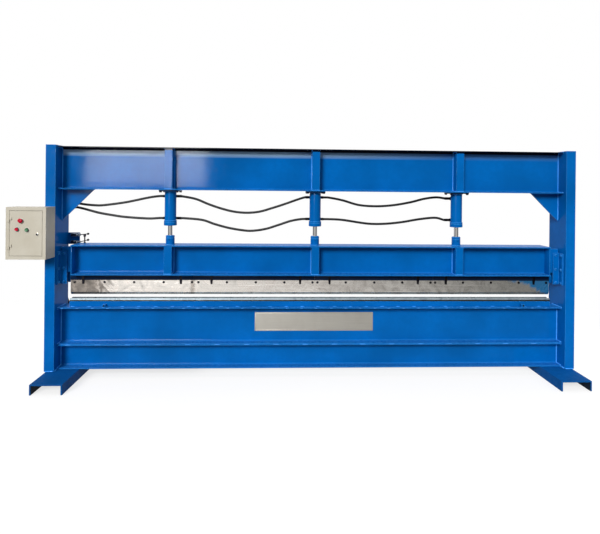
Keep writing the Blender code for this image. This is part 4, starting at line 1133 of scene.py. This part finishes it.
acrylic = sight_glass("acrylic sight glass")
glass_foot = (tank_low.x + 120 * mm, tank_high.y, tank_low.z)
work = bmesh.new()
block(work, off(glass_foot, -7, -1, 110), off(glass_foot, 7, 7, 250), 3 * mm, 3)
finish_piece("level_gauge_glass", work, acrylic, "frame")
work = bmesh.new()
for rise in (100, 260):
    end = off(glass_foot, 0, 0, rise)
    block(work, off(end, -11, -1, -14), off(end, 11, 10, 14), 2 * mm)
    lathe(work, in_mm((6, 0), (6, 4), (5, 5)), off(end, 0, 9.5, 0), (0, 1, 0), 6)
finish_piece("level_gauge_ends", work, black_plastic, "frame")


# The valve block is drilled steel, zinc plated, with a solenoid valve across its top,
# a relief valve with its lock nut, and a small pressure gauge with a plain dial.
paint_nodes(["valve_block"], zinc_steel)
valve_middle = (valve_low + valve_high) / 2
valve_top = Vector((valve_middle.x, valve_middle.y, valve_high.z))
work = bmesh.new()
block(work, off(valve_top, -30, -24, 0), off(valve_top, 30, 24, 46), 3 * mm)
for sign in (-1, 1):
    lathe(work, in_mm((11, 28), (11, 82), (9, 86)), off(valve_top, 0, 0, 23), (sign, 0, 0), 28)
relief = (valve_high.x, valve_middle.y + 25 * mm, valve_middle.z)
lathe(work, in_mm((13, 0), (13, 18), (12, 19)), relief, (1, 0, 0), 6)
lathe(work, in_mm((6, 18), (6, 44), (5, 45)), relief, (1, 0, 0), 20)
for x in (valve_low.x + 14 * mm, valve_high.x - 14 * mm):
    for y in (valve_low.y + 14 * mm, valve_high.y - 14 * mm):
        socket_screw(work, (x, y, valve_high.z), (0, 0, 1), 13 * mm, 6 * mm)
for y in (lower_port, upper_port):
    lathe(work, in_mm((12, -6), (14, -6), (14, 0), (13, 1)), (valve_low.x - 0.1 * mm, y, port_z), (1, 0, 0),
          6)
finish_piece("solenoid_valve", work, zinc_steel, "frame")
work = bmesh.new()
for sign in (-1, 1):
    near, far = sorted((sign * 32, sign * 74))
    block(work, off(valve_top, near, -22, 1), off(valve_top, far, 22, 45), 4 * mm, 3)
    block(work, off(valve_top, near + 8, -14, 44), off(valve_top, far - 8, 14, 66), 3 * mm, 3)
finish_piece("solenoid_coils", work, black_plastic, "frame")
gauge_place = off(valve_high, -22, -20, 62)
work = bmesh.new()
lathe(work, in_mm((5, -62), (5, -20)), gauge_place, (0, 0, 1), 6)
lathe(work, in_mm((26, -12), (28, -10), (28, 10), (26.5, 12), (25, 12), (25, 9)), gauge_place, (0, 1, 0),
      48)
finish_piece("gauge_case", work, zinc_steel, "frame")
work = bmesh.new()
lathe(work, in_mm((25, 8.6), (25, 9.4)), gauge_place, (0, 1, 0), 48)
finish_piece("gauge_dial", work, white_plastic, "frame")


def spoke(work, centre, axis, angle, sections):
    """Add a bar that points out from a turned piece's axis, X or Y. The corners of its
    sections are given along the axis, outwards and sideways."""
    level, rise = Vector((axis.y, axis.x, 0)), Vector((0, 0, 1))
    out = level * math.cos(angle) + rise * math.sin(angle)
    side = rise * math.cos(angle) - level * math.sin(angle)
    prism(work, [[centre + axis * along + out * reach + side * aside for along, reach, aside in section]
                 for section in sections])


dial_axis = Vector((0, 1, 0))
work = bmesh.new()
for index in range(11):
    spoke(work, gauge_place, dial_axis, math.radians(225 - 27 * index), [
        [(9.3 * mm, reach, -0.7 * mm), (9.3 * mm, reach, 0.7 * mm), (9.7 * mm, reach, 0.7 * mm),
         (9.7 * mm, reach, -0.7 * mm)] for reach in (18 * mm, 22.5 * mm)])
spoke(work, gauge_place, dial_axis, math.radians(225), [
    [(9.6 * mm, reach, -half), (9.6 * mm, reach, half), (10.2 * mm, reach, half), (10.2 * mm, reach, -half)]
    for reach, half in ((-6 * mm, 1.2 * mm), (17 * mm, 0.5 * mm))])
lathe(work, in_mm((2.5, 9.3), (2.5, 10.8), (2, 11)), gauge_place, (0, 1, 0), 24)
finish_piece("gauge_needle_and_marks", work, black_plastic, "frame")


# The motor is a cast body with cooling fins along it, sprayed grey, with a fan under a
# pressed steel cowl at its end and a terminal box on top. Its foot is bolted to the shelf.
grey_enamel = sprayed_enamel("grey alkyd enamel", "#757D83", "#6A7278", "#8E969B", 0.32)
motor_low, motor_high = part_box("electric_motor")
motor_radius = (motor_high.y - motor_low.y) / 2
axis_y, axis_z = (motor_low.y + motor_high.y) / 2, motor_high.z - motor_radius
shaft, shaft_axis = Vector((0, axis_y, axis_z)), Vector((1, 0, 0))
fin_count, fin_height = 44, 9 * mm
cowl = 62 * mm
work = bmesh.new()
core = motor_radius - fin_height
start, end = motor_low.x, motor_high.x
lathe(work, [(30 * mm, start), (40 * mm, start + 1 * mm), (70 * mm, start + 3 * mm),
             (motor_radius - 3 * mm, start + 5 * mm), (motor_radius - 1 * mm, start + 8 * mm),
             (motor_radius - 1 * mm, start + 20 * mm), (core, start + 21 * mm), (core, end - cowl - 4 * mm)],
      shaft, (1, 0, 0), 64)
for index in range(fin_count):
    spoke(work, shaft, shaft_axis, 2 * math.pi * (index + 0.5) / fin_count, [
        [(x, core - 2 * mm, -1.6 * mm), (x, motor_radius - 1.5 * mm, -0.9 * mm),
         (x, motor_radius - 1.5 * mm, 0.9 * mm), (x, core - 2 * mm, 1.6 * mm)]
        for x in (start + 20 * mm, end - cowl - 6 * mm)])
foot_start, foot_end = (start, axis_y, motor_low.z), (end, axis_y, motor_low.z)
block(work, off(foot_start, 50, -60, 0), off(foot_end, -50, 60, 12), 2 * mm)
for sign in (-1, 1):
    block(work, off(foot_start, 60, sign * 42 - 9, 10), off((end, axis_y, axis_z), -60, sign * 42 + 9, -40),
          2 * mm)
terminal_box = (start + 88 * mm, axis_y, motor_high.z)
block(work, off(terminal_box, -42, -34, -12), off(terminal_box, 42, 34, 30), 4 * mm, 3)
block(work, off(terminal_box, -45, -37, 30), off(terminal_box, 45, 37, 38), 3 * mm, 3)
finish_piece("motor_body", work, grey_enamel, "frame", stands_for="electric_motor")
work = bmesh.new()
rim = motor_radius
lathe(work, [(rim - 2 * mm, end - cowl), (rim, end - cowl), (rim, end - 10 * mm),
             (rim - 6 * mm, end - 3 * mm), (rim - 12 * mm, end - 1 * mm), (rim - 24 * mm, end - 1 * mm),
             (rim - 24 * mm, end - 3 * mm), (rim - 12 * mm, end - 3 * mm), (rim - 2 * mm, end - 10 * mm)],
      shaft, (1, 0, 0), 64)
for radius in (16 * mm, 28 * mm, 40 * mm, 52 * mm):
    lathe(work, [(radius - 1.2 * mm, end - 3 * mm), (radius + 1.2 * mm, end - 3 * mm),
                 (radius + 1.2 * mm, end - 1 * mm), (radius - 1.2 * mm, end - 1 * mm)],
          shaft, (1, 0, 0), 48)
for index in range(6):
    spoke(work, shaft, shaft_axis, math.pi * index / 6, [
        [(end - 3.5 * mm, reach, -1.5 * mm), (end - 3.5 * mm, reach, 1.5 * mm),
         (end - 1.8 * mm, reach, 1.5 * mm), (end - 1.8 * mm, reach, -1.5 * mm)]
        for reach in (-rim + 20 * mm, rim - 20 * mm)])
finish_piece("fan_cowl", work, grey_enamel, "frame")
work = bmesh.new()
for index in range(7):
    spoke(work, shaft, shaft_axis, 2 * math.pi * index / 7, [
        [(x, 14 * mm, twist - 1.5 * mm), (x, 62 * mm, twist - 1 * mm), (x, 62 * mm, twist + 1 * mm),
         (x, 14 * mm, twist + 1.5 * mm)]
        for x, twist in ((end - 34 * mm, -2 * mm), (end - 10 * mm, 2 * mm))])
lathe(work, [(16 * mm, end - 40 * mm), (16 * mm, end - 12 * mm), (12 * mm, end - 8 * mm)], shaft, (1, 0, 0),
      32)
finish_piece("fan", work, black_plastic, "frame")
work = bmesh.new()
for middle in (off(foot_start, 62, 0, 12), off(foot_end, -62, 0, 12)):
    for sign in (-1, 1):
        hex_bolt(work, off(middle, 0, sign * 54, 0), (0, 0, 1), 11 * mm)
for sign_x in (-1, 1):
    for sign_y in (-1, 1):
        socket_screw(work, off(terminal_box, sign_x * 38, sign_y * 30, 38), (0, 0, 1), 7 * mm, 3 * mm)
finish_piece("motor_bolts", work, zinc_steel, "frame")


# The gear pump is cast aluminium: a bell housing on the motor's flange, the gear case with
# its end plates, and the ports. A bent steel pipe takes its oil up to the valve block.
def cast_aluminium(name):
    """Sand cast aluminium. The eye gets a pale grey, grainy skin, darker in the hollows."""
    material, tree, place = start_material(name)
    grain = add(tree, "TexNoise", {"Vector": place, "Scale": 1 / (4 * mm), "Detail": 6.0, "Roughness": 0.7})
    surface = add(tree, "MixRGB", {"Fac": grain, "Color1": "#8B8C8C", "Color2": "#B4B4B2"})
    sandy = add(tree, "Bump", {"Height": grain, "Distance": 0.4 * mm, "Strength": 0.8})
    shader = add(tree, "BsdfPrincipled", {"Base Color": surface, "Metallic": 1.0, "Roughness": 0.55,
                                          "Normal": sandy})
    add(tree, "OutputMaterial", {"Surface": shader})
    return material


aluminium = cast_aluminium("sand cast aluminium")
pump_low, pump_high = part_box("gear_pump")
work = bmesh.new()
pump_end = pump_high.x
lathe(work, [(30 * mm, pump_end - 92 * mm), (36 * mm, pump_end - 92 * mm), (40 * mm, pump_end - 84 * mm),
             (44 * mm, pump_end - 30 * mm), (60 * mm, pump_end - 14 * mm), (62 * mm, pump_end - 12 * mm),
             (62 * mm, pump_end - 1 * mm), (30 * mm, pump_end)], shaft, (1, 0, 0), 48)
for near, far, half in ((pump_low.x + 2 * mm, pump_low.x + 26 * mm, 40 * mm),
                        (pump_low.x + 28 * mm, pump_end - 112 * mm, 37 * mm),
                        (pump_end - 110 * mm, pump_end - 92 * mm, 40 * mm)):
    block(work, (near, axis_y - half * 0.9, axis_z - half), (far, axis_y + half * 0.9, axis_z + half),
          9 * mm, 4)
pipe_x = (pump_low.x + pump_end - 84 * mm) / 2
lathe(work, in_mm((17, 34), (17, 46), (16, 47)), (pipe_x, axis_y, axis_z), (0, 0, 1), 32)
finish_piece("gear_pump_castings", work, aluminium, "frame", stands_for="gear_pump")
work = bmesh.new()
for sign_y in (-1, 1):
    for sign_z in (-1, 1):
        hex_bolt(work, (pump_low.x + 2 * mm, axis_y + sign_y * 27 * mm, axis_z + sign_z * 30 * mm),
                 (-1, 0, 0), 9 * mm)
lathe(work, in_mm((13, 46), (13, 60), (12, 61)), (pipe_x, axis_y, axis_z), (0, 0, 1), 6)
lathe(work, in_mm((13, 0), (13, 14), (12, 15)), (valve_high.x, valve_middle.y - 22 * mm, valve_middle.z),
      (1, 0, 0), 6)
finish_piece("pump_bolts_and_pipe_nuts", work, zinc_steel, "frame")
pipe_turn = 38 * mm
pipe_end = Vector((valve_high.x + 10 * mm, valve_middle.y - 22 * mm, valve_middle.z))
pipe_points = [Vector((pipe_x, axis_y, axis_z + 56 * mm)), Vector((pipe_x, axis_y, pipe_end.z - pipe_turn)),
               Vector((pipe_x - pipe_turn * 0.3, axis_y - 4 * mm, pipe_end.z - pipe_turn * 0.3)),
               Vector((pipe_x - pipe_turn, axis_y - 10 * mm, pipe_end.z)), pipe_end]
round_tube("pressure_pipe", "pressure_pipe", pipe_points, 6 * mm, 4, "NURBS", zinc_steel)


# The nameplate is a long strip of brushed aluminium, riveted to the web of the bed and
# left blank, with a thin raised border.
def brushed_aluminium(name):
    """Anodised aluminium brushed along its length. The eye gets a warm pale grey with
    long fine streaks and soft broad highlights."""
    streak = 2.5 * mm                       # real brush lines are 0.1 mm, too fine to show
    material, tree, place = start_material(name)
    brushed = add(tree, "Mapping", {"Vector": place, "Scale": (3.0, 1 / streak, 1 / streak)})
    lines = add(tree, "TexNoise", {"Vector": brushed, "Scale": 1.0, "Detail": 5.0})
    clouds = add(tree, "TexNoise", {"Vector": place, "Scale": 1 / (90 * mm), "Detail": 4.0})
    surface = add(tree, "MixRGB", {"Fac": lines, "Color1": "#827F78", "Color2": "#9B9890"})
    handled = add(tree, "MapRange", {"Value": clouds, "From Min": 0.45, "From Max": 0.75, "To Max": 0.4})
    surface = add(tree, "MixRGB", {"Fac": handled, "Color1": surface, "Color2": "#847F79"})
    ridges = add(tree, "Bump", {"Height": lines, "Distance": 0.03 * mm})
    shader = add(tree, "BsdfPrincipled", {"Base Color": surface, "Metallic": 0.85, "Roughness": 0.42,
                                          "Normal": ridges})
    add(tree, "OutputMaterial", {"Surface": shader})
    return material


plate_metal = brushed_aluminium("brushed anodised aluminium")
paint_nodes(["nameplate"], plate_metal)
plate_low, plate_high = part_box("nameplate")
rim_inset, rim_width, rim_proud = 7 * mm, 3 * mm, 0.5 * mm
work = bmesh.new()
border(work, plate_low, plate_high, rim_inset, rim_width, plate_low.y - rim_proud, plate_low.y + 0.2 * mm,
       0.2 * mm)
for x in (plate_low.x + 5 * mm, (plate_low.x + plate_high.x) / 2, plate_high.x - 5 * mm):
    for z in (plate_low.z + 5 * mm, plate_high.z - 5 * mm):
        lathe(work, in_mm((3.6, 0), (3.5, 0.8), (2.6, 1.7), (1, 2.1)), (x, plate_low.y, z), (0, -1, 0), 20)
finish_piece("nameplate_border_and_rivets", work, plate_metal, "frame")


# The studio is a pale floor that fades into a white background, a soft high lamp from the
# front left, and a row of windows behind the camera that only the gloss shows. The gloss
# also mirrors the white behind the machine, a dimmer hall before it and a bright roof.
floor_inner, floor_outer = 2.6, 4.6
floor_material, tree, place = start_material("pale studio floor")
distance = add(tree, "VectorMath", {0: place}, operation="LENGTH")
fade = add(tree, "MapRange", {"Value": distance.outputs["Value"], "From Min": floor_inner,
                              "From Max": floor_outer}, interpolation_type="SMOOTHSTEP")
seen = add(tree, "LightPath")
direct = add(tree, "Math", {0: seen.outputs["Is Camera Ray"], 1: seen.outputs["Is Glossy Ray"]},
             operation="MAXIMUM")
direct = add(tree, "Math", {0: direct, 1: seen.outputs["Is Transmission Ray"]}, operation="MAXIMUM")
paper = add(tree, "BsdfDiffuse", {"Color": "#929292"})
glow = add(tree, "Emission", {"Color": (1.0, 1.0, 1.0, 1.0), "Strength": 0.72})
shadowed = add(tree, "BsdfDiffuse", {"Color": "#9A9A9A"})
white = add(tree, "AddShader", {0: glow, 1: shadowed})
ground = add(tree, "MixShader", {0: direct, 1: paper, 2: white})
clear = add(tree, "BsdfTransparent")
faded = add(tree, "MixShader", {0: fade, 1: ground, 2: clear})
add(tree, "OutputMaterial", {"Surface": faded})
work = bmesh.new()
bmesh.ops.create_circle(work, cap_ends=True, segments=96, radius=floor_outer)
mesh = bpy.data.meshes.new("floor")
work.to_mesh(mesh)
work.free()
mesh.materials.append(floor_material)
floor = bpy.data.objects.new("floor", mesh)
scene.collection.objects.link(floor)

world = bpy.data.worlds.new("white studio")
world.use_nodes = True
tree = world.node_tree
tree.nodes.clear()
seen = add(tree, "LightPath")
heading = add(tree, "SeparateXYZ", {"Vector": add(tree, "TexCoord").outputs["Generated"]})
hall_far, hall_near = 0.10, 0.50        # how bright the hall is beside the machine and behind the camera
backdrop = add(tree, "MapRange", {"Value": heading.outputs["Y"], "From Min": -0.10, "From Max": 0.25,
                                  "To Max": 1.0 - hall_far})
hall = add(tree, "MapRange", {"Value": heading.outputs["Y"], "From Min": -0.80, "From Max": -0.55,
                              "To Min": hall_near, "To Max": hall_far})
wall = add(tree, "Math", {0: backdrop, 1: hall}, operation="ADD")
roof = add(tree, "MapRange", {"Value": heading.outputs["Z"], "From Min": 0.5, "From Max": 0.75,
                              "To Max": 1.6})
wall = add(tree, "Math", {0: wall, 1: roof}, operation="ADD")
sky = add(tree, "MapRange", {"Value": heading.outputs["Z"], "To Min": 0.12, "To Max": 0.72})
side_glow = add(tree, "MapRange", {"Value": heading.outputs["X"], "To Max": 0.28})
back_glow = add(tree, "MapRange", {"Value": heading.outputs["Y"], "To Max": 0.45})
sky = add(tree, "Math", {0: sky, 1: side_glow}, operation="ADD")
sky = add(tree, "Math", {0: sky, 1: back_glow}, operation="ADD")
mirrored = add(tree, "Math", {0: seen.outputs["Is Glossy Ray"], 1: seen.outputs["Is Transmission Ray"]},
               operation="MAXIMUM")
strength = add(tree, "Mix", {"Factor": mirrored, "A": sky, "B": wall}, data_type="FLOAT")
strength = add(tree, "Mix", {"Factor": seen.outputs["Is Camera Ray"], "A": strength, "B": 1.0},
               data_type="FLOAT")
background = add(tree, "Background", {"Color": (1.0, 1.0, 1.0, 1.0), "Strength": strength})
add(tree, "OutputWorld", {"Surface": background})
scene.world = world

lamp = bpy.data.lights.new("high soft lamp", "SUN")
lamp.energy = 3.1
lamp.angle = math.radians(21)
high_lamp = bpy.data.objects.new("high soft lamp", lamp)
scene.collection.objects.link(high_lamp)
lamp_side, lamp_height = math.radians(-24), math.radians(26)
towards = Vector((math.sin(lamp_side) * math.cos(lamp_height), -math.cos(lamp_side) * math.cos(lamp_height),
                  math.sin(lamp_height)))
high_lamp.rotation_euler = towards.to_track_quat("Z", "Y").to_euler()
window = bpy.data.lights.new("hall windows", "AREA")
window.shape = "RECTANGLE"
window.size, window.size_y = 2.92, 1.7
window_radiance = 66.0
window.energy = window_radiance * math.pi * window.size * window.size_y
hall_windows = bpy.data.objects.new("hall windows", window)
hall_windows.location = (-3.50, -8.0, 2.42)             # well behind the camera, to its left
hall_windows.rotation_euler = (math.pi / 2, 0, 0)
hall_windows.visible_diffuse = False
scene.collection.objects.link(hall_windows)
